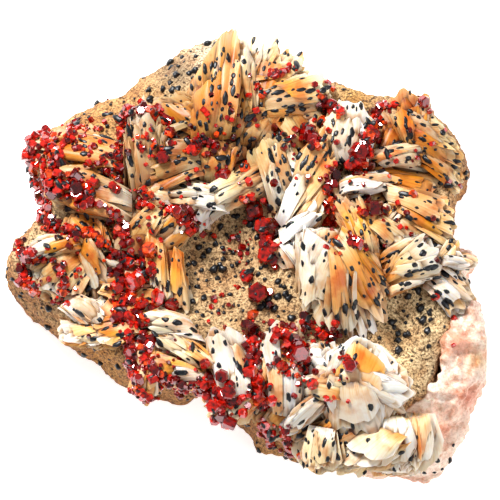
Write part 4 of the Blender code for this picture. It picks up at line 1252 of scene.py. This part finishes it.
def spot_look():
    look = Look("manganese_oxide")
    shade = look.noise(look.place(), 1500, 2)
    look.colour(look.ramp(shade, (0.3, (0.002, 0.002, 0.003)), (0.7, (0.006, 0.008, 0.012))))
    look.set(Roughness=0.38)
    return look.material


def floor_look():
    look = Look("white_floor")
    look.colour(look.ramp(look.noise(look.place(), 3, 1), (0.0, grey(0.93)), (1.0, grey(0.96))))
    look.set(Roughness=0.9, Emission_Color=(1, 1, 1, 1), Emission_Strength=0.75)
    return look.material


# Stage


def make_floor():
    mesh = bpy.data.meshes.new("floor")
    far = FLOOR_REACH
    mesh.from_pydata([(-far, -far, 0), (far, -far, 0), (far, far, 0), (-far, far, 0)], [], [(0, 1, 2, 3)])
    mesh.materials.append(floor_look())
    floor = bpy.data.objects.new("floor", mesh)
    floor.location.z = FLOOR_HEIGHT
    bpy.context.scene.collection.objects.link(floor)


def make_light(name, place, size, power):
    data = bpy.data.lights.new(name, "AREA")
    data.size = size
    data.energy = power
    light = bpy.data.objects.new(name, data)
    light.location = place
    light.rotation_euler = (-Vector(place)).to_track_quat("-Z", "Y").to_euler()
    bpy.context.scene.collection.objects.link(light)


def make_camera():
    data = bpy.data.cameras.new("camera")
    data.sensor_width = SENSOR_WIDTH
    data.lens = data.sensor_width * CAMERA_DISTANCE / (VIEW_STEPS * STEP)
    camera = bpy.data.objects.new("camera", data)
    camera.location = on_grid(*VIEW_MIDDLE, LEVEL) - SIGHT * CAMERA_DISTANCE
    camera.rotation_euler = SIGHT.to_track_quat("-Z", "Y").to_euler()
    bpy.context.scene.collection.objects.link(camera)
    bpy.context.scene.camera = camera


def make_world():
    world = bpy.data.worlds.new("studio")
    world.use_nodes = True
    world.node_tree.nodes["Background"].inputs["Color"].default_value = (1, 1, 1, 1)
    world.node_tree.nodes["Background"].inputs["Strength"].default_value = WORLD_LIGHT
    bpy.context.scene.world = world


def mesh_tree(made):
    points = [point.co.copy() for point in made.data.vertices]
    faces = [tuple(face.vertices) for face in made.data.polygons]
    return BVHTree.FromPolygons(points, faces), None


def main():
    rock = remeshed("matrix", "matrix_rock", ROCK_VOXEL, ROCK_SMOOTHINGS)
    massive = remeshed("massive_barite", "massive_barite_lumps", ROCK_VOXEL, MASSIVE_SMOOTHINGS)
    close_seam(rock, mesh_tree(massive)[0])
    roughen(rock, ROCK_GROWTH, ROCK_LUMPS)
    roughen(massive, MASSIVE_GROWTH, MASSIVE_LUMPS)
    barite = make_barite_piles()
    trees = [mesh_tree(rock), mesh_tree(massive), *(pile.tree() for pile in barite.values())]
    skies = [tree for tree, _ in trees]

    crystals = make_crystal_piles(trees)
    spots = make_spots([*trees, *(pile.tree() for pile in crystals.values() if pile.faces)])

    paint(rock, skies, ROCK_TONE, WALL_TONE, ROCK_PATCHES)
    rock.data.materials.append(rock_look())
    paint(massive, skies, MASSIVE_TONE, MASSIVE_WALL_TONE, MASSIVE_PATCHES)
    massive.data.materials.append(massive_look())
    look = barite_look()
    for name, pile in barite.items():
        tint_and_shade_pile(pile, skies)
        piece = pile.build(name + "_blades", look, SHARP_FROM)
        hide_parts(name)
    look = vanadinite_look()
    for name, pile in crystals.items():
        if pile.faces:
            piece = pile.build(name + "_crystals", look)
            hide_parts(name)
    spots.build("manganese_oxide_spots", spot_look(), math.pi)

    make_floor()
    make_world()
    for light in LIGHTS:
        make_light(*light)
    make_camera()
    bpy.context.scene.view_settings.view_transform = "Standard"


main()
